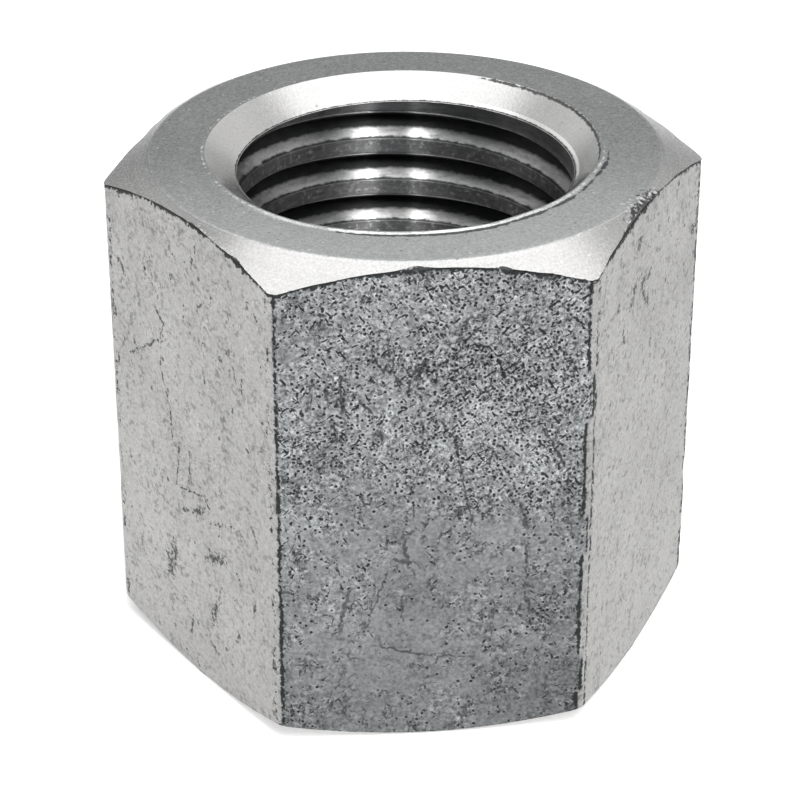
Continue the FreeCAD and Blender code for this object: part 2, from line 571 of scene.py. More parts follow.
@dataclass
class BarSkin:
    """The outside of the nut: top face, chamfers, wrench flats and base face.

    Attributes:
        sizes: the nut's sizes.
        flat_steps: columns along each wrench flat.
        edge_steps: columns round each upright edge.
        flat_rows: bands of the flats between the close rows at both creases.
    """

    sizes: NutSizes
    flat_steps: int = 72
    edge_steps: int = 10
    flat_rows: int = 75

    # Distance of the close rows from a crease, and how far its burr, painted dark as shade, reaches
    # down the first of them.
    CLOSE_ROWS = (0.10, 0.16, 0.24, 0.36, 0.52, 0.74)
    FADING = (0.62, 0.42, 0.22, 0.06)
    # The top crease turns over with this radius, ragged by so much, within these limits. The rows
    # beside it are this many radii away.
    CREASE_RADIUS = 0.055
    CREASE_RAGGED = 0.045
    CREASE_LIMITS = (0.02, 0.4)
    CREASE_REACH = 0.9
    # The crease's own rows: how far in and down they are, in radii, and how ragged; the ragged burr
    # is painted dark as shade.
    CREASE_ROWS = ((0.42, 0.28, 0.9), (0.12, 0.62, 1.0))
    # How far out the chamfers' rows are, from the rim of the end face to the crease or back.
    TOP_PARTS = (0.0, 0.10, 0.3, 0.55, 0.8, 0.95)
    BASE_PARTS = (0.06, 0.35, 0.7, 1.0)
    # Degrees of the rounded edges that the dull finish covers, right and left, and the steps of its
    # right border: lowest and highest point, and the degrees that it covers between them. The dull
    # finish is densely marked, and darkened with painted shade.
    RIGHT_BORDER = 20.0
    LEFT_BORDER = 30
    BORDER_STEPS = ((14.7, 16.8, 57.0), (8.5, 10.2, 46.0), (1.6, 3.4, 38.0))
    # How thickly each flat is pitted outside the dull finish, and where the pitting thickens: up
    # every flat, toward the camera on the left one, and toward the right in the dull finish.
    PITTED = (0.30, 0.55, 0.35, 0.30, 0.34, 0.26)
    THICKER_UP = (2.0, 18.5)
    THICKER_NEARER = (-7.5, 1.0)
    THICKER_RIGHT = (-3.0, 4.0)

    def reach(self) -> float:
        """Half the length of a wrench flat between the roundings of its edges."""
        size = self.sizes
        return size.half_flats / math.sqrt(3) - size.edge_radius * math.tan(math.radians(30))

    def outline(self) -> Outline:
        """The columns, with each flat's first and then those of the edge after it.

        Returns:
            The outline of the bar.
        """
        half, radius, reach = self.sizes.half_flats, self.sizes.edge_radius, self.reach()
        along = np.linspace(-reach, reach, self.flat_steps + 1)
        bend = np.radians(np.linspace(0, 60, self.edge_steps + 1)[1:-1])
        flat = np.stack([np.full_like(along, half), along], axis=-1)
        arc_normals = np.stack([np.cos(bend), np.sin(bend)], axis=-1)
        arc = np.array([half - radius, reach]) + radius * arc_normals
        flat_normals = np.tile([1.0, 0.0], (len(along), 1))
        places, normals, run, side = [], [], [], []
        for flank in Side:
            cos, sin = math.cos(flank.turn), math.sin(flank.turn)
            spin = np.array([[cos, sin], [-sin, cos]])
            places.append(np.concatenate([flat, arc]) @ spin)
            normals.append(np.concatenate([flat_normals, arc_normals]) @ spin)
            run.append(np.concatenate([along, reach + radius * bend]))
            side.append(np.full(len(along) + len(bend), flank))
        return Outline(*(np.concatenate(part) for part in (places, normals, run, side)))

    def flat_heights(self, top: np.ndarray, base: np.ndarray) -> np.ndarray:
        """Heights of the rows between the creases, closer together near both.

        Args:
            top: height of the top crease in each column.
            base: height of the base crease in each column.

        Returns:
            Rows by columns.
        """
        near = np.array(self.CLOSE_ROWS)
        middle = np.linspace(0, 1, self.flat_rows + 1)[1:-1]
        upper = top[None] - near[:, None]
        lower = base[None] + near[::-1][1:, None]
        between = upper[-1] + (lower[0] - upper[-1]) * middle[:, None]
        return np.concatenate([upper, between, lower])

    def inside_front(self, line: Outline, heights: np.ndarray) -> np.ndarray:
        """How far each point lies inside the dull finish of the front flat.

        The finish, densely marked and darkened with painted shade, ends part of the way round the
        rounded edges, and steps back where the right edge is nicked.

        Args:
            line: the outline.
            heights: rows by columns.

        Returns:
            Distance in millimetres, negative outside the finish.
        """
        radius, reach = self.sizes.edge_radius, self.reach()
        border = np.full_like(heights, self.RIGHT_BORDER)
        for low, high, bend in self.BORDER_STEPS:
            above = smooth(heights, low - 0.10, low + 0.10)
            border += (bend - self.RIGHT_BORDER) * above * smooth(heights, high + 0.05, high - 0.05)
        right = reach + np.radians(border) * radius - line.run
        left = line.run + reach + math.radians(self.LEFT_BORDER) * radius
        before = line.run - reach - math.radians(self.LEFT_BORDER) * radius
        beyond = np.where(line.side == Side.LEFT, before, -1.0)
        return np.where(line.side == Side.FRONT, np.minimum(left, right), beyond)

    def pitting(self, points: np.ndarray, line: Outline, inside: np.ndarray) -> np.ndarray:
        """How thickly each point of the flats is pitted, 0 to 1.

        Args:
            points: rows by columns by 3, in millimetres.
            line: the outline.
            inside: distance inside the dull finish of the front flat.

        Returns:
            Rows by columns.
        """
        share = np.where(inside > 0, 1.0, np.array(self.PITTED)[line.side])
        nearer = smooth(points[..., 0], *self.THICKER_NEARER) * (line.side == Side.LEFT)
        rightward = smooth(points[..., 0], *self.THICKER_RIGHT) * (inside > 0)
        rise = smooth(points[..., 2], *self.THICKER_UP)
        clouds = Grit(Seed.CLOUDS).rough(points, 5.0)
        upper = 0.40 + (0.37 + 0.12 * rightward) * rise + 0.25 * nearer
        return np.clip(share * (upper + 0.28 * clouds), 0.02, 1.0)

    @staticmethod
    def dents() -> list[Dent]:
        """The dents that the photo shows, and others on the far flats."""
        draw = np.random.default_rng(Seed.DENTS)
        far = [
            Dent(
                side,
                draw.uniform(-5.2, 5.2),
                draw.uniform(2.5, 19.5),
                (draw.uniform(0.1, 0.22), draw.uniform(0.12, 0.32)),
                draw.uniform(0.03, 0.08),
                draw.uniform(0.4, 0.9),
            )
            for side in HIDDEN_SIDES
            for _ in range(7)
        ]
        return [*SEEN_DENTS, *far]

    def dent_field(self, line: Outline, heights: np.ndarray) -> tuple[np.ndarray, np.ndarray]:
        """Depth and darkness of the dents at each point of the flats.

        Args:
            line: the outline.
            heights: rows by columns.

        Returns:
            Depth in millimetres and darkness, rows by columns each.
        """
        depth, dark = np.zeros_like(heights), np.zeros_like(heights)
        for mark in self.dents():
            along = (line.run - mark.along) / mark.reach[0]
            up = (heights - mark.height) / mark.reach[1]
            shape = np.exp(-1.4 * (along**2 + up**2)) * (line.side == mark.side)
            depth += mark.depth * shape
            dark = np.maximum(dark, mark.dark * shape)
        return depth, dark

    def nicks(self, points: np.ndarray, line: Outline) -> np.ndarray:
        """Depth of the nicks in the six upright edges, in millimetres, rows by columns."""
        corner = self.sizes.half_flats / math.sqrt(3)
        near_edge = np.exp(-(((np.abs(line.run) - corner) / 0.42) ** 2))
        wide = smooth(Grit(Seed.NICKS).at(points, 0.9), 0.25, 0.8)
        fine = smooth(Grit(Seed.FINE_NICKS).at(points, 0.35), 0.0, 0.8)
        return near_edge * (0.075 * wide + 0.028 * fine)

    @staticmethod
    def chips(line: Outline) -> np.ndarray:
        """Extra radius of the top crease at its chips and rolled burrs, one for each column."""
        draw = np.random.default_rng(Seed.CHIPS)
        far = [
            (side, draw.uniform(-5.5, 5.5), draw.uniform(0.25, 0.7), draw.uniform(0.05, 0.15))
            for side in HIDDEN_SIDES
            for _ in range(4)
        ]
        total = np.zeros_like(line.run)
        for side, place, width, depth in (*SEEN_CHIPS, *far):
            total += depth * np.exp(-(((line.run - place) / width) ** 2)) * (line.side == side)
        return total

    def patch(self) -> Patch:
        """The whole outside as one grid, from the seam on the top face down to that on the base.

        Returns:
            The grid.
        """
        size = self.sizes
        line = self.outline()
        far = line.far
        ray = line.places / far[:, None]
        top_tan, base_tan = (math.tan(math.radians(a)) for a in (size.top_slope, size.base_slope))
        top_crease = size.height - (far - size.top_rim) * top_tan
        base_crease = (far - size.base_rim) * base_tan
        ragged = Grit(Seed.CREASE).rough(np.column_stack([line.places, top_crease]), 0.9)
        turn = self.CREASE_RADIUS + self.CREASE_RAGGED * ragged + self.chips(line)
        turn = np.clip(turn, *self.CREASE_LIMITS)
        rows: list[np.ndarray] = []
        bands: list[Finish] = []
        burrs: list[np.ndarray] = []

        def put(points: np.ndarray, below: Finish, burr: float = 0.0) -> None:
            """Add a row, the finish of the band under it, and how ragged the row is."""
            rows.append(points)
            bands.append(below)
            burrs.append(np.full_like(far, burr))

        def ring(radius: np.ndarray | float, height: np.ndarray | float) -> np.ndarray:
            """A ring of points on the columns' rays."""
            spread = np.broadcast_to(radius, far.shape)
            return np.column_stack([ray * spread[:, None], np.broadcast_to(height, far.shape)])

        def top_cone(radius: np.ndarray) -> np.ndarray:
            """A ring on the top chamfer."""
            return ring(radius, size.height - (radius - size.top_rim) * top_tan - RELIEF)

        def beside(inset: np.ndarray | float, height: np.ndarray) -> np.ndarray:
            """A row on the flats, or this far inside them."""
            face = line.places - line.normals * RELIEF
            return np.column_stack([face - line.normals * np.reshape(inset, (-1, 1)), height])

        # The top face and its chamfer.
        land = size.height - RELIEF
        for radius in (SEAM_RADIUS, 10.0, 10.3, size.top_rim - 0.1):
            put(ring(radius, land), Finish.FACE)
        put(ring(size.top_rim - 0.03, land - 0.006), Finish.FACE, 0.35)
        rim, reach = size.top_rim + 0.05, far - turn * self.CREASE_REACH
        for part in self.TOP_PARTS:
            put(top_cone(rim + (reach - rim) * part), Finish.CHAMFER)
        # The crease: the chamfer turns over into the flat, with a ragged radius, and its burr is
        # painted dark as shade.
        put(top_cone(reach), Finish.CHAMFER, 0.6)
        for share, drop, burr in self.CREASE_ROWS:
            height = top_crease - (turn * drop + RELIEF * (1 - drop))
            put(beside(turn * share, height), Finish.FLAT, burr)
        # The flats, the base crease and the rest of the underside.
        flat_top = top_crease - turn * self.CREASE_REACH
        for row, height in enumerate(self.flat_heights(flat_top, base_crease)):
            burr = self.FADING[row] if row < len(self.FADING) else 0.0
            put(beside(0.0, height), Finish.FLAT, burr)
        put(beside(0.01, base_crease + 0.05), Finish.FLAT, 0.5)
        put(beside(0.05, base_crease + 0.012), Finish.CHAMFER, 0.4)
        for part in self.BASE_PARTS:
            radius = far - 0.1 + (size.base_rim + 0.03 - far + 0.1) * part
            put(ring(radius, (radius - size.base_rim) * base_tan), Finish.CHAMFER)
        for radius in (size.base_rim - 0.04, size.base_rim - 0.2, 10.2, SEAM_RADIUS):
            put(ring(radius, 0.0), Finish.FACE)
        bands.pop()
        return self.worn(Patch(np.stack(rows), bands, {Wear.BURR: np.stack(burrs)}), line)

    def worn(self, plain: Patch, line: Outline) -> Patch:
        """Work the wear into the plain grid.

        Args:
            plain: the grid, with how ragged each point is.
            line: the outline.

        Returns:
            The finished grid.
        """
        points, burr = plain.points, plain.wear[Wear.BURR]
        heights = points[..., 2]
        is_flat = np.array([band is Finish.FLAT for band in plain.finishes] + [False])[:, None]
        depth, dark = self.dent_field(line, heights)
        waves = 0.010 * Grit(Seed.WAVES).at(points, 6.0)
        waves += 0.006 * Grit(Seed.RIPPLES).at(points, 1.6)
        sink = is_flat * (depth + self.nicks(points, line) + 0.016 - waves)
        lift = 0.012 * Grit(Seed.BURRS).at(points, 0.5) * burr
        moved = points.copy()
        moved[..., :2] -= line.normals * sink[..., None]
        moved[..., :2] += line.normals * lift[..., None]
        top = heights > self.sizes.height - RELIEF - 0.02
        moved[..., 2] += np.where(top, end_face_waves(points), 0.0)
        # The dark lines: round the dull finish, and fainter ones on the other upright edges.
        wander = Grit(Seed.WANDER).rough(points, 0.9)
        inside = self.inside_front(line, heights) + 0.035 * wander
        round_finish = np.clip(1 - np.abs(inside - 0.08) / 0.22, 0, 1)
        off_edge = np.abs(np.abs(line.run) - self.reach() + 0.07 + 0.06 * wander)
        strength = np.where(line.side == Side.RIGHT, 0.95, 0.62)
        faint = strength * np.clip(1 - off_edge / 0.30, 0, 1) * (inside < -0.05)
        # The chamfer is knocked over the right flat, dark with painted highlights between, and over
        # the left one has raised bits with painted highlights.
        from_crease = line.far - np.hypot(points[..., 0], points[..., 1])
        nearer = np.clip(1 - from_crease / 1.5, 0, 1) * (heights > 15) * ~is_flat
        knocked = np.exp(-(((line.run + 1.0) / 2.1) ** 4)) * (line.side == Side.RIGHT) * nearer
        left_highlights = np.exp(-(((line.run - 2.0) / 1.8) ** 2)) * (line.side == Side.LEFT)
        left_highlights = left_highlights * np.clip(4 * nearer - 3, 0, 1)
        edge = np.where(is_flat, np.maximum(round_finish, faint), 0.56 * knocked + 0.6 * left_highlights)
        wear = {
            Wear.BURR: np.maximum(burr, 0.76 * knocked),
            Wear.PITTING: self.pitting(points, line, inside),
            Wear.DENT: dark * is_flat,
            Wear.EDGE: edge,
            # The dull finish of the front flat: densely marked, and darkened with painted shade.
            Wear.DULL: smooth(inside, -0.03, 0.03),
        }
        return Patch(moved, plain.finishes, wear)


@dataclass
class BoreSkin:
    """The inside of the nut: both countersinks and the thread, out to the seam on each end face.

    Attributes:
        sizes: the nut's sizes.
        columns: number of columns round the bore.
    """

    sizes: NutSizes
    columns: int = 208

    # Rows of one turn of the thread, as heights from the middle of the groove.
    ROWS = (-0.84, -0.70, -0.655, -0.44, -0.22, 0.0, 0.22, 0.44, 0.655, 0.70, 0.84, 1.0)
    # The thread's first and last rows gather in one point where they are this close to its ends.
    CLOSE = 0.035
    # Where the thread runs out, from an end face.
    RUNOUT = (1.1, 1.75)
    # Height of the rim of each countersink, from the end face.
    RIM_GAP = 0.03
    # Part of the way out, ragged dark edge, painted highlight of the edge, and both for the near
    # left side, where the painted highlight lightens the cone.
    SINK_ROWS = (
        (0.02, 1.0, 0.0, 0.0, 0.9),
        (0.05, 0.55, 0.35, 0.0, 0.9),
        (0.09, 0.0, 0.9, 0.25, 0.7),
        (0.15, 0.0, 0.7, 0.70, 0.0),
        (0.21, 0.0, 0.0, 0.35, 0.3),
        (0.28, 0.0, 0.0, 0.0, 0.60),
        (0.5, 0.0, 0.0, 0.0, 0.60),
        (0.8, 0.0, 0.0, 0.0, 0.57),
        (0.94, 0.0, 0.0, 0.0, 0.55),
    )
    # Radius of each row of the end face, and how far it stands up as part of the lip.
    LIP_ROWS = (
        (8.42, 0.5),
        (8.45, 1.0),
        (8.50, 0.95),
        (8.55, 0.20),
        (8.59, -0.45),
        (8.68, -0.62),
        (8.76, -0.30),
        (8.84, 0.0),
        (9.2, 0.0),
        (SEAM_RADIUS - 0.12, 0.0),
    )

    def thread_radius(self, turn: np.ndarray, height: np.ndarray) -> np.ndarray:
        """Radius of the thread alone.

        Args:
            turn: azimuth in radians.
            height: height above the base in millimetres.

        Returns:
            Radius in millimetres.
        """
        size = self.sizes
        first = size.groove_height + size.pitch * turn / (2 * math.pi)
        middle = first + size.pitch * np.round((height - first) / size.pitch)
        end = np.minimum(middle, size.height - middle)
        runout = (size.root - size.crest) * (1 - smooth(end, *self.RUNOUT))
        flank = np.abs(height - middle) / math.tan(math.radians(size.flank))
        return np.maximum(size.crest, size.root - flank - runout)

    def cone_radius(self, end: float) -> float:
        """Radius of a countersink at this distance from its end face."""
        size = self.sizes
        return size.crest + (size.mouth_depth - end) * math.tan(math.radians(size.mouth_half_angle))

    def build(self, skin: Skin) -> tuple[np.ndarray, np.ndarray]:
        """Add the bore to the skin.

        Args:
            skin: the mesh so far.

        Returns:
            Vertex numbers of the seam rings on the base and on the top face.
        """
        size = self.sizes
        turns = np.linspace(0, 2 * math.pi, self.columns, endpoint=False)
        low, high = size.mouth_depth, size.height - size.mouth_depth
        wound = np.arange(-2, math.ceil(size.height / size.pitch) + 1)
        middles = size.groove_height + size.pitch * wound
        rows = (middles[:, None] + np.array(self.ROWS)).ravel()
        grid = rows[:, None] + size.pitch * turns / (2 * math.pi)
        heights = np.clip(grid, low, high)
        radius = self.thread_radius(turns, heights)
        recess = (radius - size.crest) / (size.root - size.crest)
        radius = radius + 0.008 * Grit(Seed.CRESTS).rough(around(turns, radius, heights), 0.6)
        numbers = skin.add_points(around(turns, radius, heights), {Wear.RECESS: recess})
        for line, height in zip(numbers.T, grid.T):
            line[height <= low + self.CLOSE] = line[0]
            line[height >= high - self.CLOSE] = line[-1]
        for column in range(self.columns):
            other = (column + 1) % self.columns
            shift = len(self.ROWS) if other == 0 else 0
            for row in range(len(rows) - 1 - shift):
                corners = [numbers[row, column], numbers[row + 1, column]]
                corners += [numbers[row + 1 + shift, other], numbers[row + shift, other]]
                skin.add_face(corners, Finish.THREAD)
        base_rim = self.countersink(skin, numbers[0], turns, False)
        top_rim = self.countersink(skin, numbers[-1], turns, True)
        return self.lip(skin, base_rim, turns, False), self.lip(skin, top_rim, turns, True)

    def bands(self, skin: Skin, rings: list[np.ndarray], is_top: bool, finish: Finish) -> None:
        """Join rings of the bore, the innermost first, with four-sided faces.

        Args:
            skin: the mesh so far.
            rings: vertex numbers of each ring.
            is_top: whether this is the top end.
            finish: finish of the bands.
        """
        for near, far in zip(rings, rings[1:]):
            for column in range(self.columns):
                other = (column + 1) % self.columns
                corners = [near[column], far[column], far[other], near[other]]
                skin.add_face(corners if is_top else corners[::-1], finish)

    @staticmethod
    def inward(turns: np.ndarray, is_top: bool) -> np.ndarray:
        """How far the rim of the top countersink was cut short of round, in millimetres."""
        right = lobe(turns, -52, 0.20, 0.85)
        left = lobe(turns, -115, 0.30, 0.80)
        cut = lobe(turns, -43, 0.86, 0.985)
        return (0.26 * right + 0.17 * cut + 0.08 * left) * is_top

    def countersink(
        self, skin: Skin, crest: np.ndarray, turns: np.ndarray, is_top: bool
    ) -> np.ndarray:
        """Add one countersink, from the crest of the thread out to the rim.

        Args:
            skin: the mesh so far.
            crest: vertex numbers of the ring where the thread ends.
            turns: azimuth of each column.
            is_top: whether this is the top end.

        Returns:
            Vertex numbers of the rim.
        """
        size = self.sizes
        rings = [crest]
        inward = self.inward(turns, is_top)
        # Painted highlights of the edge, on the right and on the near left side, and painted shade
        # in a line by the rim on the right.
        shine = lobe(turns, 22, 0.68, 0.85)
        near_left_side = lobe(turns, 222, 0.74, 0.92) * is_top
        for part, plain_burr, plain_edge, near_left_burr, near_left_highlight in self.SINK_ROWS:
            end = size.mouth_depth * (1 - part) + self.RIM_GAP * part
            burr = plain_burr + (near_left_burr - plain_burr) * near_left_side
            radius = self.cone_radius(end) - inward * part**2
            level = np.full_like(turns, end)
            places = around(turns, radius, level)
            torn = 0.020 * burr * Grit(Seed.SINK_BURRS).rough(places, 0.5)
            radius += 0.004 * Grit(Seed.COUNTERSINK).at(places, 1.5) + torn
            wear = {
                Wear.BURR: burr,
                Wear.EDGE: plain_edge * shine + near_left_highlight * near_left_side,
                Wear.RECESS: smooth(part, 0.85, 0.95) * shine,
            }
            height = size.height - level if is_top else level
            rings.append(skin.add_points(around(turns, radius, height), wear))
        height = np.full_like(turns, size.height - self.RIM_GAP if is_top else self.RIM_GAP)
        rim = around(turns, self.cone_radius(self.RIM_GAP) - inward, height)
        rings.append(skin.add_points(rim, {Wear.RECESS: 0.6 * shine}))
        self.bands(skin, rings, is_top, Finish.COUNTERSINK)
        return rings[-1]

    def lip(self, skin: Skin, rim: np.ndarray, turns: np.ndarray, is_top: bool) -> np.ndarray:
        """Add the low burr round a countersink's rim, and the end face out to the seam.

        Args:
            skin: the mesh so far.
            rim: vertex numbers of the rim.
            turns: azimuth of each column.
            is_top: whether this is the top end.

        Returns:
            Vertex numbers of the seam ring.
        """
        size = self.sizes
        rings = [rim]
        near = lobe(turns, -75, 0.10, 0.55)
        left = lobe(turns, 180, 0.3, 0.8)
        facing = 0.45 + 0.55 * lobe(turns, -58, 0.35, 0.8)
        uneven = Grit(Seed.LIP).rough(around(turns, size.mouth, np.zeros_like(turns)), 0.8)
        stand = np.clip(0.62 + 0.6 * uneven, 0.10, 1.0) * (0.30 + 0.70 * near)
        for radius, rise in self.LIP_ROWS:
            up, down = max(0.0, rise), max(0.0, -rise)
            depth = RELIEF * (1 - rise * stand) if is_top else 0.02 * up * stand
            height = size.height - depth if is_top else depth
            inward = self.inward(turns, is_top) * np.clip((9.2 - radius) / 0.5, 0, 1)
            points = around(turns, radius - inward, height)
            if is_top and radius > 8.8:
                points[:, 2] += end_face_waves(points)
            # Painted highlight on the raised lip, stronger on the near side and on the left of the
            # top one, and painted shade in the dip outside it, strongest on the near right.
            ridge_highlight = up * (0.85 * stand + 0.15 * near + 0.36 * left * is_top)
            ditch_shade = down * 2.5 * stand * facing
            rings.append(skin.add_points(points, {Wear.EDGE: ridge_highlight, Wear.RECESS: ditch_shade}))
        self.bands(skin, rings, is_top, Finish.FACE)
        return rings[-1]


# Finishes

Socket = bpy.types.NodeSocket
Value = Socket | float | tuple[float, ...]


class Bench:
    """A node tree, and short calls that fill it."""

    def __init__(self, tree: bpy.types.NodeTree) -> None:
        """Clear the tree.

        Args:
            tree: the node tree of a material or the world.
        """
        self.tree = tree
        tree.nodes.clear()

    def node(
        self, kind: str, inputs: dict[str | int, Value] | None = None, **settings: object
    ) -> bpy.types.Node:
        """Add a node.

        Args:
            kind: Blender's name for the node.
            inputs: what each input socket gets, by name or number.
            **settings: properties of the node.

        Returns:
            The node.
        """
        made = self.tree.nodes.new(kind)
        for name, value in settings.items():
            setattr(made, name, value)
        for key, value in (inputs or {}).items():
            if isinstance(value, Socket):
                self.tree.links.new(value, made.inputs[key])
            else:
                made.inputs[key].default_value = value
        return made

    def math(self, operation: str, *terms: Value, clamp: bool = False) -> Socket:
        """A number from one, two or three numbers."""
        inputs = dict(enumerate((*terms, 0.0, 0.0)[:3]))
        return self.node("ShaderNodeMath", inputs, operation=operation, use_clamp=clamp).outputs[0]

    def plus(self, first: Value, second: Value) -> Socket:
        """The sum of two numbers."""
        return self.math("ADD", first, second)

    def less(self, first: Value, second: Value) -> Socket:
        """The first number less the second."""
        return self.math("SUBTRACT", first, second)

    def times(self, first: Value, second: Value) -> Socket:
        """The product of two numbers."""
        return self.math("MULTIPLY", first, second)

    def line(self, value: Value, slope: Value, start: Value) -> Socket:
        """The value times the slope, plus the start."""
        return self.math("MULTIPLY_ADD", value, slope, start)

    def most(self, first: Value, second: Value) -> Socket:
        """The larger of two numbers."""
        return self.math("MAXIMUM", first, second)

    def least(self, first: Value, second: Value) -> Socket:
        """The smaller of two numbers."""
        return self.math("MINIMUM", first, second)

    def swing(self, value: Value) -> Socket:
        """A share from 0 to 1, moved to swing from -0.5 to 0.5."""
        return self.less(value, 0.5)

    def step(
        self, value: Value, low: Value, high: Value, start: Value = 0.0, end: Value = 1.0
    ) -> Socket:
        """A soft step from start, at low, to end, at high."""
        inputs = {0: value, 1: low, 2: high, 3: start, 4: end}
        made = self.node("ShaderNodeMapRange", inputs, interpolation_type="SMOOTHSTEP")
        return made.outputs[0]

    def hump(self, value: Value, rise: tuple[float, float], fall: tuple[float, float]) -> Socket:
        """A soft rise from 0 to 1 over the first span, and a fall back to 0 over the second."""
        return self.times(self.step(value, *rise), self.step(value, *fall, 1.0, 0.0))

    def vector(self, operation: str, *terms: Value, scale: float | None = None) -> Socket:
        """A vector from one, two or three vectors, or a number from them."""
        inputs: dict[str | int, Value] = dict(enumerate(terms))
        if scale is not None:
            inputs["Scale"] = scale
        made = self.node("ShaderNodeVectorMath", inputs, operation=operation)
        return made.outputs["Value" if operation in ("DOT_PRODUCT", "LENGTH") else "Vector"]

    def noise(
        self, place: Socket, per_mm: float, detail: float, rough: float = 0.5, twist: float = 0.0
    ) -> Socket:
        """Cloudy noise from 0 to 1, with lumps 1 / per_mm wide."""
        inputs = {
            "Vector": place,
            "Scale": per_mm,
            "Detail": detail,
            "Roughness": rough,
            "Distortion": twist,
        }
        return self.node("ShaderNodeTexNoise", inputs).outputs[0]

    def spots(self, place: Socket, per_mm: float) -> tuple[Socket, bpy.types.Node]:
        """Scattered spots, so many for each millimetre.

        Args:
            place: place on the piece in millimetres.
            per_mm: spots in each millimetre.

        Returns:
            Distance from the nearest spot, and a node with three random shares for that spot.
        """
        inputs = {"Vector": place, "Scale": per_mm, "Randomness": 1.0}
        cells = self.node("ShaderNodeTexVoronoi", inputs)
        chances = self.node("ShaderNodeSeparateColor", {0: cells.outputs["Color"]})
        return cells.outputs["Distance"], chances

    def mix(self, share: Value, first: Value, second: Value) -> Socket:
        """A mix of two colours."""
        made = self.node("ShaderNodeMix", {0: share, 6: first, 7: second}, data_type="RGBA")
        return made.outputs[2]

    def along(self, place: Socket, axis: int) -> Socket:
        """One of the three parts of a place."""
        return self.node("ShaderNodeSeparateXYZ", {0: place}).outputs[axis]

    def tinted(self, tone: Value, level: Socket) -> Socket:
        """A colour made lighter or darker."""
        colour = self.vector("SCALE", tone)
        self.tree.links.new(level, colour.node.inputs["Scale"])
        return colour

    def carried(self, kind: Wear) -> Socket:
        """A surface value that the mesh carries."""
        settings = {"attribute_name": kind.value, "attribute_type": "GEOMETRY"}
        return self.node("ShaderNodeAttribute", **settings).outputs["Fac"]

    def place_mm(self) -> Socket:
        """The place on the piece in millimetres."""
        place = self.node("ShaderNodeTexCoord").outputs["Object"]
        return self.vector("SCALE", place, scale=1 / MM)


@dataclass(frozen=True)
class PlatedFinish(ABC):
    """What the finishes of the zinc plating share.

    In every finish, a noise is given as lumps for each millimetre, layers of detail, how rough they
    are and how twisted, and a soft step as where it starts and ends and its value at both places.

    Attributes:
        name: name of the material.
        tone: colour of the clean plating.
        shade: colour of pits, burrs and scratches.
        roughness: roughness of the clean plating.
        cloud: strength of the broad light and dark patches.
        grain: strength of the fine grain.
        brushed: how far the tool's fine lines round the axis spread the gloss across them, 0 to 1.
    """

    name: str
    tone: Triple
    shade: Triple = (0.035, 0.037, 0.040)
    roughness: float = 0.4
    cloud: float = 0.10
    grain: float = 0.14
    brushed: float = 0.0

    CLOUDS = (0.28, 4.0, 0.6)
    GRAIN = (7.0, 2.0, 0.6)
    GRAIN_HEIGHT = 0.004
    # How much rougher the marks are, and how far the grain changes the roughness.
    MARKS_ROUGHER = 0.25
    GRAIN_GLOSS = 0.10

    def material(self) -> bpy.types.Material:
        """Make the material.

        Returns:
            The material, with its nodes.
        """
        made = bpy.data.materials.new(self.name)
        made.use_nodes = True
        bench = Bench(made.node_tree)
        place = bench.place_mm()
        clouds = bench.noise(place, *self.CLOUDS)
        fine = bench.noise(place, *self.GRAIN)
        tint = bench.line(clouds, 2 * self.cloud, 1 - self.cloud)
        speck = bench.line(fine, 2 * self.grain, 1 - self.grain)
        level = bench.times(tint, speck)
        marks, bright, relief = self.marks(bench, place, fine)
        level = bench.times(level, bright)
        clean = bench.tinted(self.ground(bench), level)
        colour = bench.mix(marks, clean, (*self.shade, 1.0))
        rougher = min(1.0, self.roughness + self.MARKS_ROUGHER)
        dull = bench.step(marks, 0.0, 1.0, self.roughness, rougher)
        gloss = bench.line(fine, self.GRAIN_GLOSS, -self.GRAIN_GLOSS / 2)
        rough = bench.math("ADD", dull, gloss, clamp=True)
        bump = bench.node("ShaderNodeBump", {"Height": relief, "Distance": MM, "Strength": 1.0})
        surface = bench.node(
            "ShaderNodeBsdfPrincipled",
            {"Base Color": colour, "Roughness": rough, "Metallic": 1.0, "Normal": bump.outputs[0]},
        )
        if self.brushed:
            round_axis = bench.node("ShaderNodeTangent", direction_type="RADIAL", axis="Z")
            bench.tree.links.new(round_axis.outputs[0], surface.inputs["Tangent"])
            surface.inputs["Anisotropic"].default_value = self.brushed
            surface.inputs["Anisotropic Rotation"].default_value = 0.25
        bench.node("ShaderNodeOutputMaterial", {"Surface": surface.outputs[0]})
        return made

    def ground(self, bench: Bench) -> Value:
        """The colour of the clean plating."""
        return self.tone

    @abstractmethod
    def marks(self, bench: Bench, place: Socket, fine: Socket) -> tuple[Socket, Socket, Socket]:
        """The marks on the plating.

        Args:
            bench: node tree of the material.
            place: place on the piece in millimetres.
            fine: the fine grain, 0 to 1.

        Returns:
            Darkness 0 to 1, brightness about 1, and height in millimetres.
        """


@dataclass(frozen=True)
class PitLayer:
    """A layer of round pits.

    Attributes:
        per_mm: places for a pit in each millimetre.
        gain: how much the share of places with a pit rises with the pitting.
        start: that share where there is no pitting.
        least: radius of the smallest pit, where 1 is the way between two places.
        spread: how much wider the widest pit is.
    """

    per_mm: float
    gain: float
    start: float
    least: float
    spread: float


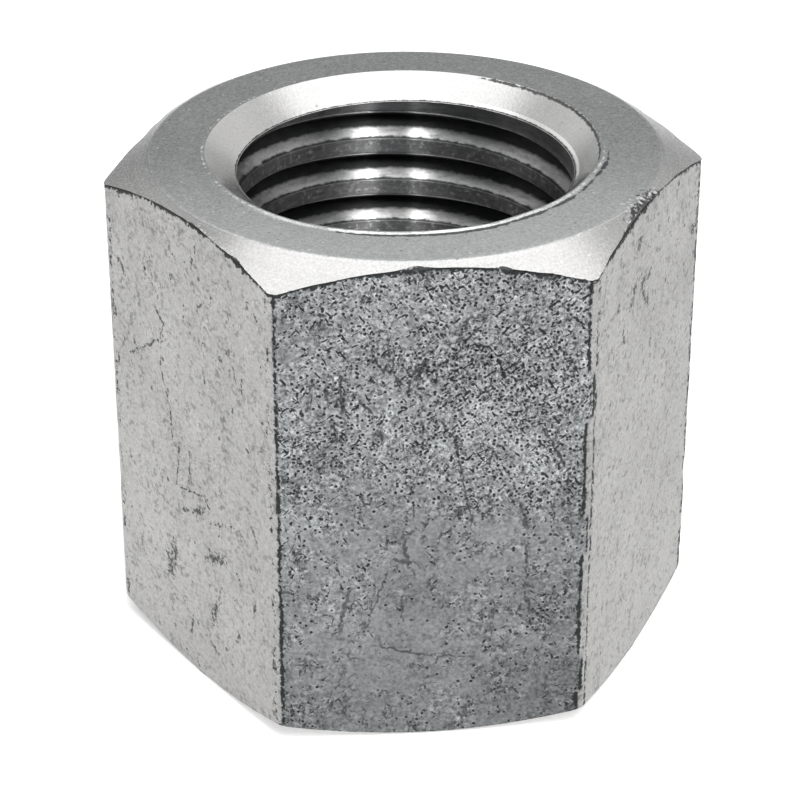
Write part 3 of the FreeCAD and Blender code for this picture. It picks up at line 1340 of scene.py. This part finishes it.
@dataclass(frozen=True)
class FlatFinish(PlatedFinish):
    """The drawn and plated wrench flats: dull, with dark pits, worm marks, cracks and knocks.

    Attributes:
        painted_shade_tint: cooler colour of the dull finish, before it is darkened, as painted
            shade.
        painted_front_shade: how much darker the dull finish of the front flat is, as painted shade.
        painted_base_shade: how much darker still it is near the base, as painted shade.
    """

    name: str = "zinc_wrench_flat"
    tone: Triple = (0.360, 0.356, 0.348)
    shade: Triple = (0.033, 0.037, 0.037)
    roughness: float = 0.42
    painted_shade_tint: Triple = (0.343, 0.356, 0.359)
    painted_front_shade: float = 0.366
    painted_base_shade: float = 0.11

    # Worm marks: short and dark, they crowd where two fine noises, drawn out along lines that slant
    # by so many degrees, are both low.
    WORMS = (7.4, 1.0, 0.5, 0.5)
    WORM_SLANTS = (36.0, -52.0)
    WORM_STRETCH = (0.37, 0.85, 1.0)
    # Level that the noises, shifted up, are under there, and how much it rises with the pitting and
    # in the dull finish.
    WORM_LEVEL = 0.266
    WORM_SHIFT = 0.060
    WORM_PITTED = 0.155
    WORM_DULL = 0.020
    WORM_STEP = (-0.055, 0.008, 1.0, 0.0)
    WORM_BORDER = ((0.005, 0.03), (0.05, 0.10))
    # Round pits, each with a pale border.
    PIT_LAYERS = (PitLayer(1.9, 0.5, 0.05, 0.12, 0.13), PitLayer(4.6, 1.25, -0.42, 0.21, 0.19))
    PIT_STEP = (0.60, 1.05, 1.0, 0.0)
    PIT_BORDER = ((0.9, 1.2), (1.3, 1.9))
    # Long ragged cracks follow the level lines of a wide noise here and there.
    CRACKS = (0.8, 4.0, 0.6, 0.3)
    CRACK_PLACES = (1.1, 2.0)
    CRACK_STEPS = ((0.47, 0.60), (-0.002, 0.022, 1.0, 0.0))
    # Strength of the cracks where the pits are few and where they crowd, and how much more it is in
    # the dull finish. All the hollows are fainter where the pits are few.
    CRACK_STRENGTH = (0.1, 0.7, 0.40, 0.70)
    CRACK_DULL = 0.16
    HOLLOW_STRENGTH = (0.05, 0.6, 0.60, 1.0)
    # The torn lines of the creases, which are painted shade, and of the upright edges, and the
    # dents.
    BURR_STEP = (0.44, 0.64)
    EDGE_STEP = (0.50, 0.72)
    DENT_STEP = (0.15, 0.75)
    # Each scratch: how thick its spots are from its middle out to its border, how loosely they lie,
    # what becomes a spot, and how faint they get low down in the dull finish. Each of the first
    # three is the value on the pale flats and what the dull finish adds.
    SCRATCH_MIDDLE = (1.01, 0.14)
    SCRATCH_BORDER = (2.7, -0.15)
    SCRATCH_LOOSE = (3.2, -1.6)
    SCRATCH_STEP = (0.45, 1.05, 0.0, 0.84)
    SCRATCH_FADE = (7.0, 15.0, 0.22, 0.0)
    # Noises of the clumps of marks, the torn edges, the spots of a scratch and the soft specks.
    CLUMPS = (1.25, 3.0, 0.65)
    TEARS = (4.6, 3.0, 0.7)
    SPOTS = (6.6, 2.0, 0.6)
    SPECKS = (4.6, 2.0, 0.6)
    # Noises of the plating between the marks, from coarse to fine.
    PATCHES = (0.42, 2.0, 0.5)
    MOTTLE = (1.9, 3.0, 0.65)
    GRIT = (8.0, 2.0, 0.6)
    # Soft specks: how dark they are, and how few of them lie between the clumps.
    SPECK_STRETCH = (0.85, 0.75, 1.0)
    SPECK_STEP = (0.35, 0.52, 0.50, 0.0)
    SPECK_CLUMPS = (0.36, 0.64, 0.15, 1.0)
    DARKEST = 0.94
    # How much stronger the mottle, the finest grain and the pale borders get with the pitting.
    MOTTLE_STRENGTH = (0.70, 0.18)
    GRIT_STRENGTH = (0.3, 1.0, 0.8, 3.1)
    BORDER_STRENGTH = (0.35, 1.0, 0.03, 0.50)
    # Change of brightness toward the base: painted light on all flats, and painted shade in the
    # dull finish's lower corners.
    BASE_STEP = (0.5, 10.0, 1.0, 0.0)
    BASE_PAINTED_LIGHT = 0.08
    CORNER_STEP = (2.5, 6.2, 0.0, -0.20)
    CORNER_HEIGHT = (0.5, 5.5, 1.0, 0.0)
    CORNER_MOTTLE = (0.35, 0.60)
    # Painted light: brightness from the -X side to the +X side.
    SIDEWAYS_PAINTED_LIGHT = (-11.0, 11.0, 1.05, 0.92)
    # In millimetres.
    PIT_DEPTH = 0.022
    MOTTLE_HEIGHT = 0.03
    GRIT_HEIGHT = 0.006

    def ground(self, bench: Bench) -> Value:
        """The colour of the clean plating."""
        # Painted shade: the dull finish of the front flat takes a cooler colour.
        return bench.mix(bench.carried(Wear.DULL), (*self.tone, 1.0), (*self.painted_shade_tint, 1.0))

    def slanted(self, bench: Bench, place: Socket, degrees: float) -> Socket:
        """The place, drawn out along a slanting line, so that marks come out long."""
        inputs = {"Vector": place, "Axis": (0.0, 1.0, 0.0), "Angle": math.radians(degrees)}
        turned = bench.node("ShaderNodeVectorRotate", inputs).outputs[0]
        return bench.vector("MULTIPLY", turned, self.WORM_STRETCH)

    @staticmethod
    def scratches(bench: Bench, place: Socket) -> Socket:
        """How far each point is from the nearest scratch, where 1 is at its edge.

        Args:
            bench: node tree of the material.
            place: place on the piece in millimetres.

        Returns:
            The distance.
        """
        far_off = 99.0
        inputs = {"Vector": place, "Scale": 2.8, "Detail": 3.0}
        sway = bench.node("ShaderNodeTexNoise", inputs).outputs["Color"]
        swayed = bench.vector("ADD", place, (-0.2, -0.2, -0.2))
        swayed = bench.vector("MULTIPLY_ADD", sway, (0.4, 0.4, 0.4), swayed)
        height = bench.along(swayed, 2)
        inside = NutSizes().half_flats - 0.5
        least: Value = far_off
        for side, rows in SCRATCHES.items():
            cos, sin = math.cos(side.turn), math.sin(side.turn)
            outward = bench.vector("DOT_PRODUCT", place, (cos, sin, 0.0))
            along = bench.vector("DOT_PRODUCT", swayed, (-sin, cos, 0.0))
            spot = bench.node("ShaderNodeCombineXYZ", {0: along, 1: 1.0, 2: height}).outputs[0]
            near: Value = far_off
            for row in rows:
                lengthwise, across = (
                    bench.vector("DOT_PRODUCT", spot, part) for part in Scratch(*row).rows()
                )
                square = bench.line(across, across, bench.times(lengthwise, lengthwise))
                near = bench.least(near, square)
            elsewhere = bench.times(bench.math("LESS_THAN", outward, inside), far_off)
            least = bench.least(least, bench.plus(near, elsewhere))
        return bench.math("SQRT", least)

    def pits(
        self, bench: Bench, place: Socket, thick: Socket, layer: PitLayer
    ) -> tuple[Socket, Socket]:
        """Round black pits, and the pale rim round each.

        Args:
            bench: node tree of the material.
            place: place on the piece in millimetres.
            thick: how thickly the flat is pitted.
            layer: sizes of the pits.

        Returns:
            The pits and their rims, 0 to 1.
        """
        share = bench.line(thick, layer.gain, layer.start)
        distance, chances = bench.spots(place, layer.per_mm)
        there = bench.math("LESS_THAN", chances.outputs[0], share)
        wide = bench.line(chances.outputs[1], layer.spread, layer.least)
        away = bench.math("DIVIDE", distance, wide)
        pit = bench.times(bench.step(away, *self.PIT_STEP), there)
        rim = bench.hump(away, *self.PIT_BORDER)
        return pit, bench.times(rim, there)

    def cracks(self, bench: Bench, place: Socket) -> Socket:
        """Long ragged cracks, 0 to 1."""
        bent = bench.vector("MULTIPLY_ADD", place, (1.0, 1.0, 0.6), (31.0, 7.0, 3.0))
        level = bench.noise(bent, *self.CRACKS)
        off = bench.math("ABSOLUTE", bench.swing(level))
        open_step, edge_step = self.CRACK_STEPS
        open_here = bench.step(bench.noise(bent, *self.CRACK_PLACES), *open_step)
        ragged = bench.line(bench.noise(place, *self.GRAIN), 0.07, bench.less(off, 0.035))
        return bench.times(bench.step(ragged, *edge_step), open_here)

    def hollows(
        self, bench: Bench, place: Socket, thick: Socket, dull: Socket
    ) -> tuple[Socket, Socket, Socket]:
        """Worm marks, pits and cracks.

        Args:
            bench: node tree of the material.
            place: place on the piece in millimetres.
            thick: how thickly the flat is pitted.
            dull: whether this is the dull finish, 0 to 1.

        Returns:
            The hollows, and the pale borders of the worm marks and of the pits, 0 to 1.
        """
        rising, falling = (
            bench.noise(self.slanted(bench, place, slant), *self.WORMS)
            for slant in self.WORM_SLANTS
        )
        lowest = bench.plus(bench.least(rising, falling), self.WORM_SHIFT)
        reach = bench.line(thick, self.WORM_PITTED, self.WORM_LEVEL)
        over = bench.less(lowest, bench.line(dull, self.WORM_DULL, reach))
        worms = bench.step(over, *self.WORM_STEP)
        halo = bench.hump(over, *self.WORM_BORDER)
        (pit, rim), (dot, ring) = (
            self.pits(bench, place, thick, layer) for layer in self.PIT_LAYERS
        )
        pit, rim = bench.most(pit, dot), bench.most(rim, ring)
        strength = bench.line(dull, self.CRACK_DULL, bench.step(thick, *self.CRACK_STRENGTH))
        crack = bench.times(self.cracks(bench, place), strength)
        hollow = bench.most(pit, bench.most(worms, crack))
        hollow = bench.times(hollow, bench.step(thick, *self.HOLLOW_STRENGTH))
        return hollow, halo, rim

    def knocks(
        self, bench: Bench, place: Socket, clump: Socket, dull: Socket
    ) -> tuple[Socket, Socket]:
        """Ragged dark lines along the creases and upright edges, dents and scratches.

        Args:
            bench: node tree of the material.
            place: place on the piece in millimetres.
            clump: noise of the clumps of marks.
            dull: whether this is the dull finish, 0 to 1.

        Returns:
            The lines, and the dents with the scratches, 0 to 1.
        """
        # The noise widens and narrows the lines. The dark lines along the creases are painted
        # shade.
        torn = bench.times(bench.swing(bench.noise(place, *self.TEARS)), 1.5)
        torn = bench.line(bench.swing(clump), 0.7, torn)
        burr = bench.line(torn, 1.3, bench.times(bench.carried(Wear.BURR), 0.86))
        burr = bench.step(burr, *self.BURR_STEP)
        edge = bench.line(torn, 1.5, bench.times(bench.carried(Wear.EDGE), 0.95))
        edge = bench.step(edge, *self.EDGE_STEP)
        dent = bench.line(torn, 0.5, bench.carried(Wear.DENT))
        knock = bench.step(dent, *self.DENT_STEP)
        # Each scratch is a crowd of small spots, thinner toward its border.
        border = bench.line(dull, self.SCRATCH_BORDER[1], self.SCRATCH_BORDER[0])
        middle = bench.line(dull, self.SCRATCH_MIDDLE[1], self.SCRATCH_MIDDLE[0])
        crowd = bench.step(self.scratches(bench, place), 0.1, border, middle, 0.0)
        spots = bench.swing(bench.noise(place, *self.SPOTS))
        loose = bench.line(dull, self.SCRATCH_LOOSE[1], self.SCRATCH_LOOSE[0])
        scratch = bench.step(bench.line(spots, loose, crowd), *self.SCRATCH_STEP)
        low_down = bench.step(bench.along(place, 2), *self.SCRATCH_FADE)
        scratch = bench.times(scratch, bench.less(1.0, bench.times(low_down, dull)))
        knock = bench.most(knock, scratch)
        return bench.most(burr, edge), knock

    def marks(self, bench: Bench, place: Socket, fine: Socket) -> tuple[Socket, Socket, Socket]:
        """Pits, worm marks, cracks, edge lines, knocks and scratches, on mottled plating."""
        # dull is the front flat's dull finish, densely marked and darkened with painted shade.
        dull = bench.carried(Wear.DULL)
        clump = bench.noise(place, *self.CLUMPS)
        thick = bench.line(bench.swing(clump), 1.3, bench.carried(Wear.PITTING))
        thick = bench.most(thick, 0.0)
        hollow, halo, rim = self.hollows(bench, place, thick, dull)
        lines, knock = self.knocks(bench, place, clump, dull)
        dark = bench.most(lines, bench.most(hollow, knock))
        # Soft greenish specks lie all over the paler flats.
        wide = bench.vector("MULTIPLY", place, self.SPECK_STRETCH)
        soft = bench.step(bench.noise(wide, *self.SPECKS), *self.SPECK_STEP)
        soft = bench.times(soft, bench.step(clump, *self.SPECK_CLUMPS))
        dark = bench.most(dark, soft)
        dark = bench.math("MULTIPLY", dark, self.DARKEST, clamp=True)
        # The plating between the marks is mottled, and grainy everywhere.
        mottle, patches, grit = (
            bench.noise(place, *noise) for noise in (self.MOTTLE, self.PATCHES, self.GRIT)
        )
        strength = bench.line(thick, *self.MOTTLE_STRENGTH)
        shift = bench.times(bench.swing(mottle), strength)
        broad = bench.times(bench.swing(patches), strength)
        speckle = bench.times(bench.swing(grit), bench.step(thick, *self.GRIT_STRENGTH))
        pale = bench.times(bench.most(halo, rim), bench.step(thick, *self.BORDER_STRENGTH))
        # Painted shade: the dull finish is darker, most of all near the base and at its corners.
        # Painted light makes all flats lighter toward the base and toward -X.
        height = bench.along(place, 2)
        base = bench.step(height, *self.BASE_STEP)
        change = bench.line(base, -self.painted_base_shade, -self.painted_front_shade)
        change = bench.line(base, self.BASE_PAINTED_LIGHT, bench.times(dull, change))
        sideways = bench.along(place, 0)
        corner = bench.step(bench.math("ABSOLUTE", sideways), *self.CORNER_STEP)
        corner = bench.times(corner, bench.step(height, *self.CORNER_HEIGHT))
        corner = bench.times(corner, bench.step(mottle, *self.CORNER_MOTTLE))
        change = bench.line(corner, dull, change)
        bright = bench.plus(bench.step(sideways, *self.SIDEWAYS_PAINTED_LIGHT), change)
        for part in (shift, broad, speckle, pale):
            bright = bench.plus(bright, part)
        relief = bench.times(hollow, -self.PIT_DEPTH)
        relief = bench.line(mottle, bench.times(thick, self.MOTTLE_HEIGHT), relief)
        return dark, bright, bench.line(grit, self.GRIT_HEIGHT, relief)


@dataclass(frozen=True)
class TurnedFinish(PlatedFinish):
    """A turned end of the nut: fine rings left by the tool, under the grain of the plating.

    Attributes:
        rings: strength of the rings in colour.
        ring_rate: rings for each millimetre.
        specks: share of the places for a speck that have one.
        grit: strength of the finest grain.
        tear: how torn the painted highlights of the ridges are.
        gain: how much brighter one side is than the middle, and darker the other side, as painted
            light and shade.
        across: places on the Y axis, in millimetres, where the painted shade side ends and the
            painted light side starts.
        painted_end_shade: how much darker the ends on the -X and +X sides are, as painted shade.
    """

    rings: float = 0.06
    ring_rate: float = 6.0
    specks: float = 0.25
    grit: float = 0.5
    tear: float = 1.4
    gain: float = 0.0
    across: tuple[float, float] = (0.0, 1.0)
    painted_end_shade: float = 0.0

    RINGS = (1.0, 2.0, 0.7)
    RING_DEPTH = 0.0015
    TEARS = (4.2, 3.0, 0.7)
    GRIT = (10.0, 1.0, 0.5)
    SPECKS_PER_MM = 3.4
    SPECK_STEP = (0.10, 0.28, 1.0, 0.0)
    BURR_STEP = (0.50, 0.70, 0.0, 0.9)
    DITCH_STEP = (0.55, 0.80, 0.0, 0.85)
    RIDGE_STEP = (0.36, 0.62, 0.0, 0.9)

    def marks(self, bench: Bench, place: Socket, fine: Socket) -> tuple[Socket, Socket, Socket]:
        """Turning rings, specks, burrs, ditches with painted shade, and ridges with painted
        highlights.
        """
        out = bench.vector("LENGTH", bench.vector("MULTIPLY", place, (1.0, 1.0, 0.0)))
        thin = bench.vector("SCALE", place, scale=0.16)
        inputs = {2: bench.times(out, self.ring_rate)}
        lane = bench.node("ShaderNodeCombineXYZ", inputs).outputs[0]
        rings = bench.noise(bench.vector("ADD", thin, lane), *self.RINGS)
        distance, chances = bench.spots(place, self.SPECKS_PER_MM)
        there = bench.math("LESS_THAN", chances.outputs[0], self.specks)
        speck = bench.times(bench.step(distance, *self.SPECK_STEP), there)
        pale = bench.math("GREATER_THAN", chances.outputs[1], 0.45)
        torn = bench.times(bench.swing(bench.noise(place, *self.TEARS)), 1.4)
        burr = bench.step(bench.plus(bench.carried(Wear.BURR), torn), *self.BURR_STEP)
        # Painted shade in the ditches, and painted highlights on the ridges and on the pale specks.
        ditch_shade = bench.step(bench.plus(bench.carried(Wear.RECESS), torn), *self.DITCH_STEP)
        ridge_highlight = bench.line(torn, -self.tear, bench.times(bench.carried(Wear.EDGE), 0.8))
        ridge_highlight = bench.step(ridge_highlight, *self.RIDGE_STEP)
        pit = bench.times(speck, bench.less(1.0, pale))
        dark = bench.most(bench.times(pit, 0.45), bench.most(burr, ditch_shade))
        glint = bench.times(bench.times(speck, pale), 0.5)
        streak = bench.times(bench.swing(rings), 2 * self.rings)
        grit = bench.times(bench.swing(bench.noise(place, *self.GRIT)), self.grit)
        # Painted light and shade: one side brighter than the middle and the other darker, and
        # painted shade at the ends on the -X and +X sides.
        away = bench.along(place, 1)
        nearer = bench.step(away, *self.across, -self.gain, self.gain)
        ends = bench.step(bench.math("ABSOLUTE", bench.along(place, 0)), 6.0, 10.0)
        ends = bench.times(ends, bench.step(away, -5.0, 1.0))
        nearer = bench.line(ends, -self.painted_end_shade, nearer)
        grit = bench.times(grit, bench.line(ends, 5 * self.painted_end_shade, 1.0))
        bright = bench.plus(bench.plus(1.0, nearer), bench.plus(streak, grit))
        bright = bench.plus(bright, bench.plus(glint, ridge_highlight))
        grain = bench.times(rings, self.RING_DEPTH)
        return dark, bright, bench.plus(grain, bench.times(fine, self.GRAIN_HEIGHT))


@dataclass(frozen=True)
class ThreadFinish(PlatedFinish):
    """The tapped thread: bright plating, with painted shade in the roots, on the crests, in one
    patch of the flanks and toward -X and +X.

    Attributes:
        painted_shade_patch: direction from the axis in which painted shade darkens the flanks in
            every
        turn.
    """

    name: str = "zinc_thread"
    tone: Triple = (0.93, 0.93, 0.925)
    brushed: float = 1.0
    painted_shade_patch: Triple = (0.0262, 0.9997, 0.0)

    DRAG = (1.4, 3.0, 0.65)
    DRAG_HEIGHT = 0.010
    MOTTLE = (2.6, 3.0, 0.65)
    FLECKS = (4.5, 2.0, 0.6)
    # In depth from crest, 0, to root, 1: the dark root, which is painted shade, the crest and the
    # dark line beside it.
    ROOT_STEP = (0.42, 0.58, 0.0, 0.91)
    CREST_STEP = (0.004, 0.03)
    LINE_STEP = (0.06, 0.15, 0.85, 0.0)
    # Painted shade darkens the crests, flecked, and all over in the last turn under the
    # countersink.
    FLECK_STEP = (0.50, 0.80, 0.74, 0.36)
    LAST_TURN = (19.8, 20.6, 0.0, 0.84)
    # Painted shade darkens the flanks in one patch, and toward -X and +X.
    PATCH_STEP = (0.990, 0.9985, 1.0, 0.36)
    SIDE_STEP = (0.70, 0.97, 1.0, 0.62)

    def marks(self, bench: Bench, place: Socket, fine: Socket) -> tuple[Socket, Socket, Socket]:
        """Drag marks of the tap, and painted shade on the crests and in the roots."""
        drag = bench.noise(bench.vector("MULTIPLY", place, (1.0, 1.0, 6.0)), *self.DRAG)
        mottle = bench.noise(place, *self.MOTTLE)
        depth = bench.carried(Wear.RECESS)
        # Painted shade in the roots and on the crests.
        worn = bench.plus(depth, bench.times(bench.swing(mottle), 0.22))
        root_shade = bench.step(worn, *self.ROOT_STEP)
        crest = bench.step(depth, *self.CREST_STEP, 1.0, 0.0)
        light = bench.step(bench.noise(place, *self.FLECKS), *self.FLECK_STEP)
        light = bench.most(light, bench.step(bench.along(place, 2), *self.LAST_TURN))
        line = bench.step(depth, *self.CREST_STEP)
        line = bench.times(line, bench.step(worn, *self.LINE_STEP))
        dark = bench.most(bench.times(crest, light), bench.most(root_shade, line))
        bright = bench.line(bench.swing(drag), 1.3, 1.0)
        bright = bench.line(bench.swing(mottle), 0.8, bright)
        # Painted shade on the flanks: one patch, and toward -X and +X.
        outward = bench.vector("NORMALIZE", bench.vector("MULTIPLY", place, (1.0, 1.0, 0.0)))
        patch = bench.vector("DOT_PRODUCT", outward, self.painted_shade_patch)
        bright = bench.times(bright, bench.step(patch, *self.PATCH_STEP))
        sideways = bench.math("ABSOLUTE", bench.along(outward, 0))
        bright = bench.times(bright, bench.step(sideways, *self.SIDE_STEP))
        grain = bench.times(fine, self.GRAIN_HEIGHT)
        return dark, bright, bench.line(drag, self.DRAG_HEIGHT, grain)


def finishes() -> dict[Finish, PlatedFinish]:
    """The finish of each kind of surface."""
    return {
        Finish.FLAT: FlatFinish(),
        Finish.FACE: TurnedFinish(
            "zinc_end_face",
            tone=(0.535, 0.54, 0.538),
            specks=0.2,
            grit=0.85,
            gain=0.24,
            across=(1.0, -9.5),
        ),
        Finish.CHAMFER: TurnedFinish(
            "zinc_chamfer",
            tone=(0.525, 0.52, 0.515),
            roughness=0.24,
            rings=0.12,
            ring_rate=9.0,
            specks=0.10,
            grit=0.4,
            gain=0.13,
            across=(-3.0, -9.5),
            painted_end_shade=0.27,
        ),
        Finish.COUNTERSINK: TurnedFinish(
            "zinc_countersink",
            tone=(0.52, 0.517, 0.512),
            roughness=0.26,
            ring_rate=5.0,
            specks=0.06,
            grit=0.25,
            tear=0.25,
            gain=0.29,
            across=(-1.2, 2.4),
        ),
        Finish.THREAD: ThreadFinish(),
    }


# The nut


@dataclass
class UnionNut:
    """The whole nut, as one closed mesh.

    Attributes:
        sizes: the nut's sizes.
    """

    sizes: NutSizes

    def build(self) -> bpy.types.Object:
        """Make the nut, dress it, and put it in place of the plain solid.

        Returns:
            The nut's object.
        """
        skin = Skin()
        outside = skin.add_patch(BarSkin(self.sizes).patch())
        base_seam, top_seam = BoreSkin(self.sizes).build(skin)
        skin.zip_rings(top_seam, outside[0], Finish.FACE)
        skin.zip_rings(outside[-1], base_seam, Finish.FACE)
        mesh = skin.to_mesh(PIECE)
        dressed = finishes()
        for finish in Finish:
            mesh.materials.append(dressed[finish].material())
        nut = bpy.data.objects.new(PIECE, mesh)
        bpy.context.scene.collection.objects.link(nut)
        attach(nut, "root")
        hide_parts(NODE)
        return nut


# The studio


@dataclass(frozen=True)
class Viewpoint:
    """The camera, fitted to the outline in the photo, in millimetres and degrees.

    Attributes:
        distance: camera to the middle of the nut.
        elevation: how steeply the camera looks down.
        turn: how far the front flat is turned to the camera's right.
        focus: focal length in pixels of an image as wide as width_px.
        aside: sideways shift of the aim.
        above: upward shift of the aim.
        width_px: width of the image in pixels.
        sensor: width of the sensor.
        clip: nearest and furthest that the camera sees, in metres.
    """

    distance: float = 123.58
    elevation: float = 29.04
    turn: float = 5.74
    focus: float = 2841.9
    aside: float = 0.227
    above: float = 0.911
    width_px: int = 800
    sensor: float = 36.0
    clip: tuple[float, float] = (0.005, 20.0)

    def axes(self) -> tuple[Vector, Vector, Vector]:
        """Directions to the camera's right, up and back, in the nut's frame."""
        tilt, turn = math.radians(self.elevation), math.radians(self.turn)
        right = Vector((math.cos(turn), -math.sin(turn), 0.0))
        level = Vector((-math.sin(turn), -math.cos(turn), 0.0))
        back = level * math.cos(tilt) + Vector((0, 0, math.sin(tilt)))
        return right, back.cross(right), back

    def build(self, middle: Vector) -> None:
        """Make the camera, and look through it.

        Args:
            middle: middle of the nut in metres.
        """
        right, up, back = self.axes()
        lens = bpy.data.cameras.new("camera")
        lens.sensor_width = self.sensor
        lens.lens = self.focus / self.width_px * self.sensor
        lens.clip_start, lens.clip_end = self.clip
        place = middle + (back * self.distance - right * self.aside - up * self.above) * MM
        camera = bpy.data.objects.new("camera", lens)
        camera.matrix_world = placed(place, (right, up, back))
        bpy.context.scene.collection.objects.link(camera)
        bpy.context.scene.camera = camera


def placed(place: Vector, axes: tuple[Vector, Vector, Vector]) -> Matrix:
    """The matrix of an object at this place, with these directions as its axes."""
    return Matrix.Translation(place) @ Matrix(axes).transposed().to_4x4()


@dataclass(frozen=True)
class Glow:
    """A soft patch of light in the studio's dome.

    Attributes:
        towards: direction from the nut, as right, away from the camera, and up.
        strength: radiance at its middle, where 1 is white.
        full: angle from its middle within which it is at full strength, in degrees.
        gone: angle at which it has faded out, in degrees.
        tint: colour.
    """

    towards: Triple
    strength: float
    full: float
    gone: float
    tint: Triple = (1.0, 1.0, 1.0)


@dataclass(frozen=True)
class Softbox:
    """A rectangular lamp over the nut.

    Attributes:
        name: name of the lamp.
        towards: direction from the nut, as right, away from the camera, and up.
        distance: distance from the nut in metres.
        size: width and depth in metres.
        radiance: brightness of its face, where 1 is white.
    """

    name: str
    towards: Triple
    distance: float
    size: tuple[float, float]
    radiance: float


@dataclass(frozen=True)
class Studio:
    """The soft light round the nut, and the pale floor under it.

    Attributes:
        view: the camera, which the light is set up for.
        ambient: colour of the dome where nothing else lights it.
        wall: height of a direction up to which the dome is a white wall, and where the wall ends.
        floor_reach: half the width of the floor in metres.
        floor_tone: brightness of the floor's paint.
        floor_lift: how much whiter the floor is where it is seen or mirrored.
    """

    view: Viewpoint
    ambient: Triple = (0.075, 0.08, 0.085)
    wall: tuple[float, float] = (0.06, 0.16)
    floor_reach: float = 3.0
    floor_tone: float = 0.80
    floor_lift: float = 0.42

    WARM = (1.0, 0.985, 0.97)
    GLOWS = (
        Glow((0.03, 0.10, 1.0), 1.45, 28, 39),
        Glow((-0.88, 0.30, 0.18), 0.47, 29, 57, WARM),
        Glow((0.88, 0.36, 0.18), 0.48, 28, 54, WARM),
        Glow((0.0, 0.90, 0.40), 0.34, 25, 60),
    )
    BOXES = (
        Softbox("softbox_left", (-0.01, -0.62, 1.0), 0.42, (0.055, 0.26), 10.0),
        Softbox("softbox_right", (0.38, -0.62, 1.0), 0.42, (0.12, 0.26), 9.2),
    )

    def to_frame(self, towards: Triple) -> Vector:
        """Turn a direction given as right, away and up into the nut's frame."""
        right, _, back = self.view.axes()
        away = Vector((-back.x, -back.y, 0.0)).normalized()
        return (right * towards[0] + away * towards[1] + Vector((0, 0, towards[2]))).normalized()

    def dome(self) -> None:
        """Light the world with the glows, over a white wall."""
        world = bpy.data.worlds.new("studio_dome")
        world.use_nodes = True
        bpy.context.scene.world = world
        bench = Bench(world.node_tree)
        ray = bench.vector("NORMALIZE", bench.node("ShaderNodeTexCoord").outputs["Generated"])
        total: Value = self.ambient
        for glow in self.GLOWS:
            near = bench.vector("DOT_PRODUCT", ray, tuple(self.to_frame(glow.towards)))
            gone, full = (math.cos(math.radians(angle)) for angle in (glow.gone, glow.full))
            share = bench.step(near, gone, full, 0.0, glow.strength)
            total = bench.vector("ADD", total, bench.tinted(glow.tint, share))
        height = bench.vector("DOT_PRODUCT", ray, (0.0, 0.0, 1.0))
        wall = bench.step(height, *self.wall, 1.0, 0.0)
        seen = bench.mix(wall, total, (1.0, 1.0, 1.0, 1.0))
        light = bench.node("ShaderNodeBackground", {"Color": seen, "Strength": 1.0})
        bench.node("ShaderNodeOutputWorld", {"Surface": light.outputs[0]})

    def lamps(self, middle: Vector) -> None:
        """Hang the softboxes.

        Args:
            middle: middle of the nut in metres.
        """
        right = self.view.axes()[0]
        for box in self.BOXES:
            data = bpy.data.lights.new(box.name, "AREA")
            data.shape = "RECTANGLE"
            data.size, data.size_y = box.size
            data.energy = box.radiance * math.pi * box.size[0] * box.size[1]
            towards = self.to_frame(box.towards)
            side = (right - towards * right.dot(towards)).normalized()
            axes = (side, towards.cross(side), towards)
            lamp = bpy.data.objects.new(box.name, data)
            lamp.matrix_world = placed(middle + towards * box.distance, axes)
            bpy.context.scene.collection.objects.link(lamp)

    def floor(self) -> None:
        """Lay the floor: matt and pale, and lifted to white where it is seen or mirrored."""
        reach = self.floor_reach
        corners = [(-reach, -reach, 0), (reach, -reach, 0), (reach, reach, 0), (-reach, reach, 0)]
        mesh = bpy.data.meshes.new("floor")
        mesh.from_pydata(corners, [], [(0, 1, 2, 3)])
        paint = bpy.data.materials.new("pale_floor")
        paint.use_nodes = True
        bench = Bench(paint.node_tree)
        path = bench.node("ShaderNodeLightPath").outputs
        mirrored = bench.most(path["Is Glossy Ray"], path["Is Transmission Ray"])
        lift = bench.times(bench.most(path["Is Camera Ray"], mirrored), self.floor_lift)
        matt = bench.node("ShaderNodeBsdfDiffuse", {"Color": (*(self.floor_tone,) * 3, 1.0)})
        white = {"Color": (1.0, 1.0, 1.0, 1.0), "Strength": lift}
        glow = bench.node("ShaderNodeEmission", white)
        both = bench.node("ShaderNodeAddShader", {0: matt.outputs[0], 1: glow.outputs[0]})
        bench.node("ShaderNodeOutputMaterial", {"Surface": both.outputs[0]})
        mesh.materials.append(paint)
        floor = bpy.data.objects.new("floor", mesh)
        bpy.context.scene.collection.objects.link(floor)
        floor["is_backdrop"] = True

    def build(self, middle: Vector) -> None:
        """Set up the light and the floor.

        Args:
            middle: middle of the nut in metres.
        """
        self.dome()
        self.lamps(middle)
        self.floor()


def main() -> None:
    """Build the nut, the camera and the studio, and note the sizes of both models."""
    logging.basicConfig(level=logging.INFO, format="%(message)s")
    cad_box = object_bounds()
    low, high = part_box(NODE)
    middle = (low + high) / 2
    nut = UnionNut(NutSizes()).build()
    LOG.info("%s: %d vertices, %d faces", PIECE, len(nut.data.vertices), len(nut.data.polygons))
    view = Viewpoint()
    view.build(middle)
    Studio(view).build(middle)
    bpy.context.scene.view_settings.view_transform = "Standard"
    LOG.info("studio: camera, %d softboxes and floor", len(Studio.BOXES))
    boxes = {
        "cad": [list(corner) for corner in cad_box],
        "visual": [list(corner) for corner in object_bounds()],
    }
    for model, box in boxes.items():
        LOG.info("%s box: %s", model, box)


if __name__ == "__main__":
    main()
